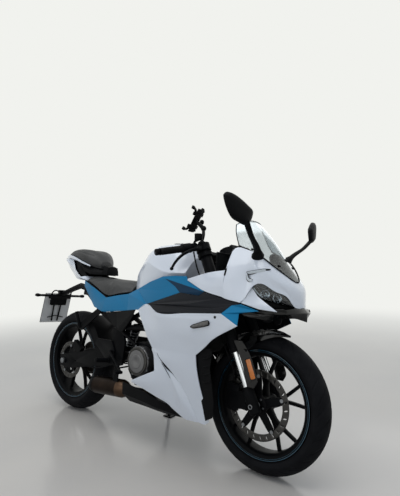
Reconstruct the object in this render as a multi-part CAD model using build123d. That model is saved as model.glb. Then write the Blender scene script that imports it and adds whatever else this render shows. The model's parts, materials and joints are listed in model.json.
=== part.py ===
"""A mid-size sport bike, leaning on its side stand, as separate named pieces.

Everything is modelled upright in the bike's own frame, in millimetres: X forward with x = 0 at the
rear axle, Y to the bike's left, Z up with z = 0 where the upright tyres meet the road.  place() then
leans the finished pieces to the left, sets the tyres on the floor and moves the origin under the
middle of the whole bike.
"""
import math
import os

from build123d import *

# ---------------------------------------------------------------- driving dimensions
WHEELBASE = 1360.0
RAKE = 25.0                  # steering axis from the vertical, degrees
TRAIL = 94.0
LEAN = 6.5                   # parked lean to the left, degrees

FRONT_TYRE_R = 293.0         # 110/70 R17
FRONT_TYRE_W = 110.0
FRONT_CROWN_R = 58.0
REAR_TYRE_R = 300.0          # 140/60 R17
REAR_TYRE_W = 140.0
REAR_CROWN_R = 75.0
BEAD_R = 217.0
FLANGE_R = 228.0
FRONT_RIM_W = 90.0           # over the flanges
REAR_RIM_W = 116.0

FORK_HALF = 98.0             # fork leg from the centre plane
FORK_TUBE_R = 27.0
STANCHION_R = 18.5
FORK_FOOT_R = 25.0
FORK_TOP_S = 762.0           # up the leg from the axle
FORK_TUBE_S = 238.0
FORK_FOOT_S = 80.0
AXLE_R = 10.0
AXLE_BORE_R = 6.0
RUN_CLEARANCE = 0.05         # radial, shaft in bearing
SIDE_GAP = 1.0               # axial, hub to spacer

STEM_R = 13.0
LOW_CLAMP_Z = 700.0          # heights of the clamps on the steering axis
TOP_CLAMP_Z = 912.0
HEAD_LOW_Z = 727.0
HEAD_TOP_Z = 892.0

FRONT_DISC_R = 146.0
REAR_DISC_R = 110.0
DISC_T = 4.5
FRONT_DISC_Y = -62.0
REAR_DISC_Y = -78.0
SPROCKET_R = 92.0
CHAIN_Y = 84.0

PANEL_T = 4.0                # body panels
SEAM = 0.8                   # gap between neighbouring body panels

DRAWN_WHEELBASE = 1360.0     # the tables of body points are drawn at this wheelbase
DRAWN_TANK_FRONT = 968.0     # points ahead of this are carried by the steering head

rake = math.radians(RAKE)
STEER_UP = Vector(-math.sin(rake), 0, math.cos(rake))
STEER_GROUND = Vector(WHEELBASE + TRAIL, 0, 0)
FRONT_AXLE = Vector(WHEELBASE, 0, FRONT_TYRE_R)
REAR_AXLE = Vector(0, 0, REAR_TYRE_R)


# ---------------------------------------------------------------- small tools
def steer_point(height):
    """The point of the steering axis at a height."""
    return STEER_GROUND + STEER_UP * (height / math.cos(rake))


def ahead(x):
    """A drawn x in place: what the steering head carries follows the wheelbase."""
    return x + WHEELBASE - DRAWN_WHEELBASE if x > DRAWN_TANK_FRONT else x


def drawn(point):
    """A drawn (x, z) or (x, y, z) in place."""
    return (ahead(point[0]), *point[1:])


def tri(a, b, c):
    return Face(Wire.make_polygon([a, b, c], close=True))


def closed_solid(faces):
    solid = Solid(Shell(faces))
    return solid if solid.volume > 0 else Solid(Shell([-f for f in faces]))


def grid_faces(grid, flip=False):
    """Two flat triangles for each cell of a grid of points, split along its shorter diagonal."""
    faces = []
    for row, following in zip(grid, grid[1:]):
        for j in range(len(row) - 1):
            a, b, c, d = row[j], row[j + 1], following[j + 1], following[j]
            if (b - d).length < (a - c).length - 1e-6:
                a, b, c, d = b, c, d, a
            for corners in ((a, b, c), (a, c, d)):
                if min((corners[0] - corners[1]).length, (corners[1] - corners[2]).length,
                       (corners[0] - corners[2]).length) > 1e-6:
                    faces.append(tri(*(reversed(corners) if flip else corners)))
    return faces


def rings_solid(rings):
    """A faceted solid through closed rings of points, each ring flat, with flat ends."""
    looped = [ring + ring[:1] for ring in rings]
    faces = grid_faces(looped)
    for ring in (rings[0], rings[-1]):
        centre = sum(ring, Vector()) * (1 / len(ring))
        for a, b in zip(ring, ring[1:] + ring[:1]):
            faces.append(tri(a, b, centre))
    return closed_solid(faces)


def shell_solid(grid, thickness, inward):
    """An open grid of points thickened towards the inward point or direction of each row."""
    inner = []
    rows, columns = len(grid), len(grid[0])
    for i in range(rows):
        line = []
        for j in range(columns):
            p = grid[i][j]
            along = grid[min(i + 1, rows - 1)][j] - grid[max(i - 1, 0)][j]
            across = grid[i][min(j + 1, columns - 1)] - grid[i][max(j - 1, 0)]
            normal = along.cross(across).normalized()
            if normal.dot(inward(p)) < 0:
                normal = -normal
            line.append(p + normal * thickness)
        inner.append(line)
    faces = grid_faces(grid) + grid_faces(inner, flip=True)
    for outer_edge, inner_edge in (
        (grid[0], inner[0]),
        (grid[-1], inner[-1]),
        ([r[0] for r in grid], [r[0] for r in inner]),
        ([r[-1] for r in grid], [r[-1] for r in inner]),
    ):
        faces += grid_faces([outer_edge, inner_edge])
    return closed_solid(faces)


def other_side(shape):
    return shape.mirror(Plane.XZ)


def both(shape):
    return Compound([shape, other_side(shape)])


def rod(start, end, radius, bore=0.0):
    """A round bar or tube between two points."""
    start, end = Vector(start), Vector(end)
    plane = Plane(origin=start, z_dir=end - start)
    length = (end - start).length
    solid = Solid.make_cylinder(radius, length, plane)
    if bore:
        solid = solid - Solid.make_cylinder(bore, length, plane)
    return solid


def slab(outline, low, high):
    """A side-view outline of (x, z) points made solid from y = low to y = high."""
    face = Face(Wire.make_polygon([Vector(x, low, z) for x, z in outline], close=True))
    return Solid.extrude(face, Vector(0, high - low, 0))


def block(size, centre, turn=(0, 0, 0)):
    return Location(tuple(centre), turn) * Box(*size)


def turned(outline, axle):
    """A wheel section of (axial, radius) points turned about an axle along Y."""
    points = [Vector(radius, axial, 0) for axial, radius in outline]
    face = Face(Wire.make_polygon(points, close=True))
    return Location(axle) * Solid.revolve(face, 360, Axis.Y)


def fuse(*shapes):
    first, *rest = shapes
    return first.fuse(*rest)


# ---------------------------------------------------------------- wheels
def wheel(axle, rim_w, hub_half, bore_r):
    """A cast wheel: rim, hub and five Y-shaped spokes."""
    half = rim_w / 2
    well_r, inner_r, lip = 203.0, 196.0, 7.0
    rim = turned(
        [(-half, FLANGE_R), (-half + lip, FLANGE_R), (-half + lip, BEAD_R), (-half * 0.45, BEAD_R),
         (-half * 0.3, well_r), (half * 0.3, well_r), (half * 0.45, BEAD_R), (half - lip, BEAD_R),
         (half - lip, FLANGE_R), (half, FLANGE_R), (half, BEAD_R - lip), (half * 0.45, inner_r + 8),
         (half * 0.3, inner_r), (-half * 0.3, inner_r), (-half * 0.45, inner_r + 8),
         (-half, BEAD_R - lip)], axle)
    hub = rod(axle - Vector(0, hub_half, 0), axle + Vector(0, hub_half, 0), 36.0, bore_r)
    fork_r, spread, spoke_t = 92.0, math.radians(14.0), 24.0
    pieces = [rim, hub]
    for k in range(5):
        mid = math.radians(90 + 72 * k)

        def at(radius, angle):
            return axle.X + radius * math.cos(angle), axle.Z + radius * math.sin(angle)

        for side in (-1, 1):
            tip = mid + side * spread
            root_w, tip_w = math.radians(15), math.radians(2.2)
            outline = [at(33, mid - root_w), at(33, mid + root_w),
                       at(fork_r, mid + max(side, 0) * 0.10 + 0.045), at(199, tip + tip_w),
                       at(199, tip - tip_w), at(fork_r, mid + min(side, 0) * 0.10 - 0.045)]
            pieces.append(slab(outline, -spoke_t / 2, spoke_t / 2))
    body = fuse(*pieces)
    return body - rod(axle - Vector(0, hub_half + 1, 0), axle + Vector(0, hub_half + 1, 0), bore_r)


def tyre(axle, radius, width, crown_r, rim_w):
    """A hollow tyre whose beads sit on the rim's seats, inside its flanges."""
    half, bead = width / 2, rim_w / 2 - 7.0
    shoulder = half * 0.78
    drop = crown_r - math.sqrt(crown_r ** 2 - shoulder ** 2)
    wall_r = FLANGE_R + (radius - FLANGE_R) * 0.45
    wall = 9.0

    def section(side):
        return [Vector(BEAD_R, side * bead, 0), Vector(FLANGE_R + 1, side * bead, 0),
                Vector(wall_r, side * half, 0), Vector(radius - drop, side * shoulder, 0)]

    right, left = section(-1), section(1)
    crown = ThreePointArc(right[3], Vector(radius, 0, 0), left[3])
    inner = [Vector(BEAD_R, bead - wall, 0), Vector(wall_r, half - wall, 0),
             Vector(radius - drop - wall, shoulder - wall, 0), Vector(radius - wall - 3, 0, 0)]
    inner += [Vector(p.X, -p.Y, 0) for p in reversed(inner[:3])]
    edges = list(Wire.make_polygon(right, close=False).edges())
    edges += [crown.edge()]
    edges += list(Wire.make_polygon(list(reversed(left)) + inner + [right[0]], close=False).edges())
    face = Face(Wire(edges))
    return Location(axle) * Solid.revolve(face, 360, Axis.Y)


def disc(axle, radius, ring_w, plane_y, hub_y, hub_r):
    """A brake disc ring on a five-armed carrier that is bolted to the hub's end."""
    low, high = plane_y - DISC_T / 2, plane_y + DISC_T / 2
    inner_r = radius - ring_w

    def cylinder(outer, inner, y0, y1):
        return rod((axle.X, y0, axle.Z), (axle.X, y1, axle.Z), outer, inner)

    ring = cylinder(radius, inner_r, low, high)
    boss = cylinder(hub_r, AXLE_R + 8, min(low, hub_y), max(high, hub_y))
    arms = []
    for k in range(5):
        angle = math.radians(18 + 72 * k)
        out = Vector(math.cos(angle), 0, math.sin(angle))
        mid = Vector(axle.X, plane_y, axle.Z) + out * ((hub_r + inner_r) / 2)
        arms.append(block((inner_r - hub_r + 12, DISC_T, 22), mid, (0, -math.degrees(angle), 0)))
    return fuse(ring, boss, *arms)


FRONT_HUB_HALF = 52.0
REAR_HUB_HALF = 62.0
front_wheel = wheel(FRONT_AXLE, FRONT_RIM_W, FRONT_HUB_HALF, AXLE_R + RUN_CLEARANCE)
front_tyre = tyre(FRONT_AXLE, FRONT_TYRE_R, FRONT_TYRE_W, FRONT_CROWN_R, FRONT_RIM_W)
front_disc = disc(FRONT_AXLE, FRONT_DISC_R, 29.0, FRONT_DISC_Y, -FRONT_HUB_HALF, 40.0)
rear_wheel = wheel(REAR_AXLE, REAR_RIM_W, REAR_HUB_HALF, AXLE_R + RUN_CLEARANCE)
rear_tyre = tyre(REAR_AXLE, REAR_TYRE_R, REAR_TYRE_W, REAR_CROWN_R, REAR_RIM_W)
rear_disc = disc(REAR_AXLE, REAR_DISC_R, 26.0, REAR_DISC_Y, -REAR_HUB_HALF, 38.0)


def sprocket():
    """The rear sprocket on its carrier, on the hub's left end."""
    plate = rod((0, CHAIN_Y - 3, REAR_TYRE_R), (0, CHAIN_Y + 3, REAR_TYRE_R), SPROCKET_R, 50.0)
    carrier = rod((0, REAR_HUB_HALF, REAR_TYRE_R), (0, CHAIN_Y + 3, REAR_TYRE_R), 62.0, AXLE_R + 8)
    return fuse(plate, carrier)


# ---------------------------------------------------------------- fork and steering
def leg_point(distance, side):
    """A point of a fork leg's axis, measured up the leg from the axle."""
    return FRONT_AXLE + STEER_UP * distance + Vector(0, side * FORK_HALF, 0)


AXLE_HALF = FORK_HALF + FORK_FOOT_R + 2


def front_axle():
    """The hollow axle with its spacers, clamped in the fork feet."""
    low, high = FRONT_AXLE - Vector(0, AXLE_HALF, 0), FRONT_AXLE + Vector(0, AXLE_HALF, 0)
    shaft = rod(low, high, AXLE_R, AXLE_BORE_R)
    spacers = []
    for side in (-1, 1):
        inner = FRONT_AXLE + Vector(0, side * (FRONT_HUB_HALF + SIDE_GAP), 0)
        if side < 0:
            inner = FRONT_AXLE + Vector(0, FRONT_DISC_Y - DISC_T / 2 - SIDE_GAP, 0)
        outer = FRONT_AXLE + Vector(0, side * (FORK_HALF - FORK_FOOT_R), 0)
        spacers.append(rod(inner, outer, 15.0, AXLE_R))
    return fuse(shaft, *spacers)


def fork_leg(side):
    """Lower foot, polished stanchion and upper tube of one leg."""
    foot = rod(leg_point(-34, side), leg_point(FORK_FOOT_S, side), FORK_FOOT_R)
    foot = foot - rod(FRONT_AXLE - Vector(0, 200, 0), FRONT_AXLE + Vector(0, 200, 0), AXLE_R)
    stanchion = rod(leg_point(FORK_FOOT_S, side), leg_point(FORK_TUBE_S, side), STANCHION_R)
    tube = rod(leg_point(FORK_TUBE_S, side), leg_point(FORK_TOP_S, side), FORK_TUBE_R)
    return foot, stanchion, tube


legs = [fork_leg(side) for side in (-1, 1)]
fork_feet = Compound([leg[0] for leg in legs])
fork_stanchions = Compound([leg[1] for leg in legs])
fork_tubes = Compound([leg[2] for leg in legs])


def clamp(height, thickness, ear):
    """A yoke square to the steering axis that grips both fork tubes and the stem."""
    centre = steer_point(height)
    plane = Plane(origin=centre, x_dir=(0, 1, 0), z_dir=STEER_UP)
    offset = (leg_point(0, 1) - centre - Vector(0, FORK_HALF, 0)).dot(plane.y_dir)
    with BuildPart(plane) as yoke:
        with BuildSketch(plane):
            with Locations((0, 0)):
                Circle(34)
            with Locations((-FORK_HALF, offset), (FORK_HALF, offset)):
                Circle(FORK_TUBE_R + ear)
            Polygon((-FORK_HALF, offset - 28), (FORK_HALF, offset - 28), (FORK_HALF, offset + 20),
                    (0, offset + 24), (-FORK_HALF, offset + 20), align=None)
            Polygon((-34, 0), (34, 0), (80, offset - 10), (-80, offset - 10), align=None)
        extrude(amount=thickness / 2, both=True)
    solid = yoke.part
    for side in (-1, 1):
        solid = solid - rod(leg_point(300, side), leg_point(900, side), FORK_TUBE_R)
    return solid


def steering_stem():
    low, high = steer_point(LOW_CLAMP_Z), steer_point(TOP_CLAMP_Z + 16)
    return rod(low, high, STEM_R)


low_clamp = clamp(LOW_CLAMP_Z, 34.0, 10.0)
top_clamp = clamp(TOP_CLAMP_Z, 18.0, 9.0)
stem = steering_stem()
steering_yokes = fuse(low_clamp, top_clamp, stem)

BAR_R = 11.0
GRIP_R = 16.5
BAR_ROOT = Vector(ahead(1050), 98, 975)      # left side; the right side is its mirror
BAR_END = Vector(ahead(985), 350, 920)
bar_along = (BAR_END - BAR_ROOT).normalized()
BAR_LENGTH = (BAR_END - BAR_ROOT).length


def bar_point(distance):
    return BAR_ROOT + bar_along * distance


CLIP_LOW_S = 722.0
GRIP_IN, GRIP_OUT = 128.0, BAR_LENGTH - 14.0
PERCH_R = 20.0


def clip_on():
    """The bar that is clamped round the fork tube, above the upper yoke."""
    ring = rod(leg_point(CLIP_LOW_S, 1), leg_point(CLIP_LOW_S + 36, 1), FORK_TUBE_R + 9,
               FORK_TUBE_R)
    tube = rod(bar_point(24), bar_point(GRIP_OUT), BAR_R) - rod(leg_point(700, 1), leg_point(760, 1),
                                                                FORK_TUBE_R + 4)
    return fuse(ring, tube)


def grip():
    return rod(bar_point(GRIP_IN), bar_point(GRIP_OUT), GRIP_R, BAR_R)


def bar_weight():
    return rod(bar_point(GRIP_OUT), bar_point(BAR_LENGTH), 15.0)


def switch_box():
    return rod(bar_point(78), bar_point(GRIP_IN - 1), 23.0, BAR_R)


def lever():
    """Perch and curved lever ahead of a grip."""
    perch = rod(bar_point(FORK_TUBE_R + 17), bar_point(74), PERCH_R, BAR_R)
    ahead = Vector(1, 0, -0.1).normalized()
    pivot = bar_point(58) + ahead * 42
    arm = rod(bar_point(58) + ahead * 19, pivot, 9.0)
    path = [pivot, bar_point(110) + ahead * 56, bar_point(180) + ahead * 64 + Vector(0, 0, -12),
            bar_point(240) + ahead * 66 + Vector(0, 0, -30)]
    blades = [rod(a, b, 6.5) for a, b in zip(path, path[1:])]
    balls = [Location(p) * Sphere(r) for p, r in zip(path[1:], (6.5, 6.5, 9.0))]
    return fuse(perch, arm, *blades, *balls)


def brake_reservoir():
    """The brake fluid cup on its stalk, on the right bar."""
    base = bar_point(58)
    foot = base + Vector(0, 0, 19)
    cup = rod(foot + Vector(26, 0, 14), foot + Vector(26, 0, 44), 20.0)
    stalk = rod(foot, foot + Vector(26, 0, 15), 6.0)
    return other_side(fuse(cup, stalk))


PHONE_BALL = Vector(ahead(1022), -72, 1066)
PHONE_CENTRE = PHONE_BALL + Vector(-56, 0, 44)
PHONE_TILT = 29.6


def phone_holder():
    """A four-claw cradle on a ball and a post that stands on the right fork cap."""
    cap = leg_point(FORK_TOP_S, -1)
    base = rod(cap, cap + STEER_UP * 14, 17.0)
    post = rod(cap + STEER_UP * 8, PHONE_BALL - Vector(0, 0, 4), 8.0)
    ball = Location(PHONE_BALL) * Sphere(14)
    neck = rod(PHONE_BALL, PHONE_CENTRE, 9.0)
    cradle = Location(tuple(PHONE_CENTRE), (0, PHONE_TILT, 0))
    pieces = [base, post, ball, neck, cradle * Box(14, 74, 140)]
    for dy in (-38, 38):
        for dz in (-58, 58):
            pieces.append(cradle * Location((-9, dy, dz)) * Box(32, 8, 14))
    return fuse(*pieces)


FENDER_HALF = FORK_HALF - FORK_TUBE_R - 3.0      # widest, clear of the fork tubes


def fender():
    """The front mudguard: an arch over the tyre with a pointed nose, closed to the fork by stays."""
    stations = [                # angle from ahead in degrees, narrowing, height, edge drop
        (148, 18, 12, 34), (132, 4, 13, 46), (116, 0, 14, 60), (100, 0, 17, 66),
        (88, 8, 19, 44), (78, 28, 20, 20), (70, 56, 19, 5)]
    grid = []
    for angle, narrowing, height, drop in stations:
        half = FENDER_HALF - narrowing
        a = math.radians(angle)
        row = []
        for share, fall in ((-1, 1), (-0.94, 0.45), (-0.6, 0.06), (0, 0), (0.6, 0.06), (0.94, 0.45),
                            (1, 1)):
            r = FRONT_TYRE_R + height - drop * fall + (0 if abs(share) > 0.6 else 2)
            rise = math.sqrt(max(FRONT_CROWN_R ** 2 - (share * half) ** 2, 0))
            r = max(r, FRONT_TYRE_R - FRONT_CROWN_R + rise + 6)          # clear of the tyre
            row.append(Vector(FRONT_AXLE.X + r * math.cos(a), share * half,
                              FRONT_AXLE.Z + r * math.sin(a)))
        grid.append(row)
    arch = shell_solid(grid, -3.0, lambda p: FRONT_AXLE - p)
    stays = []
    for side in (-1, 1):
        root = leg_point(262, side)
        stay = rod((root.X, side * 60, root.Z), (root.X, side * 84, root.Z), 8.0)
        stays.append(stay - rod(leg_point(200, side), leg_point(330, side), FORK_TUBE_R))
    return fuse(arch, *stays)


def fork_guard(side):
    """The cover outside and behind one stanchion, which carries the amber reflector."""
    y = side * (FORK_HALF + FORK_FOOT_R)
    outline = [(1262, 556), (1310, 556), (1352, 500), (1390, 400), (1376, 372), (1340, 372),
               (1318, 450), (1284, 520)]
    outline = [drawn(p) for p in outline]
    plate = slab(outline, min(y, y - side * 5), max(y, y - side * 5))
    return plate - rod(leg_point(150, side), leg_point(400, side), FORK_TUBE_R + 0.3)


CALIPER = Location((WHEELBASE - 118, FRONT_DISC_Y, FRONT_TYRE_R + 18), (0, 8, 0))
CALIPER_SIZE = (62, 58, 112)


def caliper():
    """The front caliper behind the right fork foot, straddling the disc."""
    body = CALIPER * Box(*CALIPER_SIZE)
    slot = rod((FRONT_AXLE.X, FRONT_DISC_Y - DISC_T / 2 - 2.5, FRONT_AXLE.Z),
               (FRONT_AXLE.X, FRONT_DISC_Y + DISC_T / 2 + 2.5, FRONT_AXLE.Z), FRONT_DISC_R + 5)
    keep_out = rod((FRONT_AXLE.X, FRONT_DISC_Y + DISC_T / 2, FRONT_AXLE.Z),
                   (FRONT_AXLE.X, 60, FRONT_AXLE.Z), 500)
    ears = [(1230, 330), (1330, 345), (1345, 300), (1320, 270), (1240, 262)]
    bracket = slab([drawn(p) for p in ears], FRONT_DISC_Y - 30, FRONT_DISC_Y - 12)
    leg = rod(leg_point(-34, -1), leg_point(FORK_FOOT_S, -1), FORK_FOOT_R)
    hole = rod(FRONT_AXLE - Vector(0, 200, 0), FRONT_AXLE + Vector(0, 200, 0), 18)
    return (fuse(body, bracket) - slot - keep_out) - leg - hole


HOSE_R = 3.5
HOSE_SEAT = CALIPER_SIZE[2] / 2 + 0.2      # above the caliper's middle, along its own height
HOSE_ROUTE = [        # from the caliper up behind the right fork leg to the lever's master cylinder
    (1226, -90, 460), (1196, -98, 528), (1164, -104, 600), (1130, -112, 676), (1098, -122, 750),
    (1070, -133, 818), (1048, -143, 876)]


def brake_hose():
    """The front brake hose: straight runs joined by tangent arcs."""
    perch = bar_point(58)
    ends = [CALIPER * Location((-12, -16, HOSE_SEAT + rise)) for rise in (0, 42)]
    points = [end.position for end in ends] + [Vector(*drawn(p)) for p in HOSE_ROUTE]
    points.append(Vector(perch.X, -perch.Y, perch.Z - PERCH_R - 1.3))
    runs = [(b - a).length for a, b in zip(points, points[1:])]
    radii = []
    for k in range(1, len(points) - 1):
        turn = math.radians((points[k] - points[k - 1]).get_angle(points[k + 1] - points[k]))
        radii.append(0.45 * min(runs[k - 1], runs[k]) / math.tan(turn / 2))
    path = FilletPolyline(*points, radius=radii)
    start = Plane(origin=points[0], z_dir=points[1] - points[0])
    return sweep(start * Circle(HOSE_R), path=path)


# ---------------------------------------------------------------- frame and engine
SWING_PIVOT = Vector(520, 0, 388)
PIVOT_R = 10.0
SHOCK_TOP = Vector(505, 0, 545)
PLATE_IN, PLATE_OUT = 128.0, 140.0        # frame plates outside the swingarm, from the centre
ARM_IN, ARM_OUT = 98.0, 124.0             # swingarm legs
ENGINE_HALF = 120.0
CYLINDER_HALF = 74.0
CHAIN_HALF = 8.0
FRONT_SPROCKET = Vector(604, 0, 402)
FRONT_SPROCKET_R = 36.0


def tube_set(node, runs, balls):
    """Left and right tubes between named points (x, y, z), with balls where they meet."""
    pieces = []
    for side in (-1, 1):
        at = {name: Vector(x, side * y, z) for name, (x, y, z) in node.items()}
        pieces += [rod(at[a], at[b], radius) for a, b, radius in runs]
        pieces += [Location(at[name]) * Sphere(radius) for name, radius in balls]
    return pieces


def frame():
    """Tube trellis from the steering head to the plates that carry the swingarm."""
    head_low, head_top = steer_point(HEAD_LOW_Z), steer_point(HEAD_TOP_Z)
    node = {"head_top": (ahead(1072), 14, 818), "head_low": (ahead(1103), 14, 752), "knee": (790, 120, 690),
            "waist": (800, 132, 560), "pivot": (505, 134, 545), "mount": (652, 134, 468)}
    runs = [("head_top", "knee", 15), ("head_low", "waist", 14), ("knee", "waist", 12),
            ("waist", "pivot", 14), ("knee", "pivot", 13), ("pivot", "mount", 9)]
    pieces = tube_set(node, runs, [("knee", 17), ("waist", 17), ("pivot", 17), ("mount", 10)])
    for side in (-1, 1):
        plate = [(470, 540), (548, 540), (575, 470), (560, 350), (500, 330), (470, 420)]
        pieces.append(slab(plate, min(side * PLATE_IN, side * PLATE_OUT),
                           max(side * PLATE_IN, side * PLATE_OUT)))
        pieces.append(rod((860, side * 114, 593), (860, side * CYLINDER_HALF, 593), 12.0))
        pieces.append(rod((652, side * 134, 468), (652, side * ENGINE_HALF, 468), 9.0))
        pieces.append(rod((790, side * 118, 690), (790, side * 118, TANK_PAD_Z), 10.0))
    for centre in (SHOCK_TOP, SWING_PIVOT):
        reach = Vector(0, PLATE_IN + 3, 0)
        pieces.append(rod(centre - reach, centre + reach, PIVOT_R))
    body = fuse(rod(head_low, head_top, 27.0), *pieces, stand_lug())
    bore = rod(head_low - STEER_UP * 60, head_top + STEER_UP * 60, STEM_R + RUN_CLEARANCE)
    above = rod(head_top, head_top + STEER_UP * 40, 45)
    below = rod(head_low - STEER_UP * 40, head_low, 45)
    return body - bore - above - below


TANK_PAD_Z = 744.6
RAIL = {"front": (560, 100, 640), "foot": (545, 100, 500), "tail": (150, 84, 716),
        "low": (300, 96, 618)}


def square_tube(start, end, width):
    """A square bar between two points, run on by half its width at each end."""
    start, end = Vector(start), Vector(end)
    along = (end - start).normalized()
    plane = Plane(origin=(start + end) * 0.5, x_dir=along.cross(Vector(0, 1, 0.01)), z_dir=along)
    return plane.location * Box(width, width, (end - start).length + width)


def rear_subframe():
    """Two square-tube rails with braces, bolted inside the frame plates, carrying the tail."""
    runs = [("front", "tail", 24), ("foot", "front", 20), ("foot", "low", 20), ("low", "tail", 20)]
    pieces = []
    for side in (-1, 1):
        at = {name: Vector(x, side * y, z) for name, (x, y, z) in RAIL.items()}
        pieces += [square_tube(at[a], at[b], width) for a, b, width in runs]
        foot = at["foot"]
        lug_low, lug_high = sorted((side * 98, side * (PLATE_IN - 0.3)))
        pieces.append(slab([(foot.X - 9, foot.Z - 9), (foot.X + 9, foot.Z - 9),
                            (foot.X + 9, foot.Z + 9), (foot.X - 9, foot.Z + 9)], lug_low, lug_high))
        for px, pz in ((250, 695), (450, 665)):       # bosses to the tail panels
            pieces.append(block((14, 70, 14), (px, side * 125, pz)))
        pieces.append(block((18, 18, 114), (110, side * 78, 773)))     # posts to the tail unit
        pieces.append(block((60, 17, 17), (130, side * 79, 715)))
        pieces.append(block((20, 20, 60), (430, side * 97, 695)))      # pads below the seat
    x, y, z = RAIL["tail"]
    pieces.append(block((20, 2 * y, 19), (x, 0, z)))
    whole = fuse(*pieces)
    for room in (rider_seat(), tail_cowl(), *pair_of_panels(TAIL_PANEL).solids()):
        whole = whole - room
    return max(whole.solids(), key=lambda solid: solid.volume)


CYLINDER = [(800, 440), (938, 400), (1000, 578), (955, 616), (850, 630)]


def engine():
    """The whole power unit as one closed casting at its real place and size."""
    case = [(592, 330), (650, 262), (880, 262), (940, 320), (935, 430), (880, 478), (640, 478),
            (592, 430)]
    right = slab(case, -ENGINE_HALF, 60)
    left = slab([(max(x, 656 if z > 300 else 660), z) for x, z in case], 60, ENGINE_HALF)
    cylinder = slab(CYLINDER, -CYLINDER_HALF, CYLINDER_HALF)
    shaft = rod(FRONT_SPROCKET + Vector(0, 60, 0), FRONT_SPROCKET + Vector(0, CHAIN_Y + 3, 0),
                FRONT_SPROCKET_R)
    return fuse(right, left, cylinder, shaft)


def engine_covers():
    """Round clutch cover on the right, alternator cover on the left."""
    clutch = fuse(rod((706, -ENGINE_HALF, 392), (706, -ENGINE_HALF - 46, 392), 79.0),
                  rod((706, -ENGINE_HALF - 46, 392), (706, -ENGINE_HALF - 56, 392), 66.0))
    alternator = fuse(rod((760, ENGINE_HALF, 380), (760, ENGINE_HALF + 38, 380), 74.0),
                      rod((760, ENGINE_HALF + 38, 380), (760, ENGINE_HALF + 46, 380), 60.0))
    return Compound([clutch, alternator])


RADIATOR_X, RADIATOR_FOOT = 1034.0, 467.5


def radiator():
    """The radiator core between its side tanks, hung ahead of the cylinder and under the frame tube."""
    tube_z = 560 + (752 - 560) * (RADIATOR_X - 800) / (ahead(1103) - 800)
    height = tube_z - 55.78 - RADIATOR_FOOT
    core = block((30, 250, height), (RADIATOR_X, 0, RADIATOR_FOOT + height / 2), (0, -14, 0))
    stays = [rod((980, side * 60, 545), (1036, side * 60, 545), 8.0) for side in (-1, 1)]
    return fuse(core, *stays) - slab(CYLINDER, -CYLINDER_HALF, CYLINDER_HALF)


def path_tube(points, radius):
    """Straight runs with ball joints."""
    runs = [rod(a, b, radius) for a, b in zip(points, points[1:])]
    balls = [Location(p) * Sphere(radius) for p in points[1:-1]]
    return fuse(*runs, *balls)


MUFFLER_R = 47.0
MUFFLER_REAR = Vector(330, -138, 218)
MUFFLER_FRONT = Vector(598, -108, 226)
HEADER_R = 19.0


def exhaust_header():
    """From the front of the cylinder, down and back under the crankcase to the silencer."""
    straight = (MUFFLER_FRONT - MUFFLER_REAR).normalized() * 255
    points = [Vector(945, 0, 480), Vector(988, 0, 440), Vector(980, -18, 330),
              Vector(930, -55, 240), MUFFLER_FRONT + straight, MUFFLER_FRONT]
    return path_tube(points, HEADER_R) - slab(CYLINDER, -CYLINDER_HALF, CYLINDER_HALF)


def muffler():
    """The silencer beside and below the swingarm, on its stay to the frame plate."""
    can = rod(MUFFLER_REAR, MUFFLER_FRONT, MUFFLER_R)
    stay = slab([(500, 240), (540, 240), (545, 352), (515, 345)], -PLATE_OUT - 6, -PLATE_OUT)
    return fuse(can, stay)


BELLY = [                     # x, top z, bottom z, half width at the top, half width at the bottom
    (604, 276, 166, 166, 108), (735, 262, 164, 166, 112), (864, 232, 158, 160, 112),
    (985, 205, 160, 140, 100), (1030, 200, 172, 110, 84)]


def belly_cover():
    """The black tray under the engine, open at the top and the rear."""
    grid = []
    for x, top, bottom, wide, narrow in BELLY:
        middle = bottom + (top - bottom) * 0.45
        half = [(wide, top), (wide - 4, middle), (narrow, bottom + 4), (narrow * 0.5, bottom)]
        row = [Vector(x, -y, z) for y, z in half] + [Vector(x, 0, bottom)]
        row += [Vector(x, y, z) for y, z in reversed(half)]
        grid.append(row)
    return shell_solid(grid, PANEL_T, lambda p: Vector(0, 0, 400) - Vector(0, p.Y, p.Z))


# ---------------------------------------------------------------- rear end
ARM_TOP = [(-42, REAR_TYRE_R + 32), (40, REAR_TYRE_R + 45), (300, 398)]   # swingarm's upper edge
BRIDGE_X = REAR_TYRE_R + 45               # the swingarm's cross piece, ahead of the tyre


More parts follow.
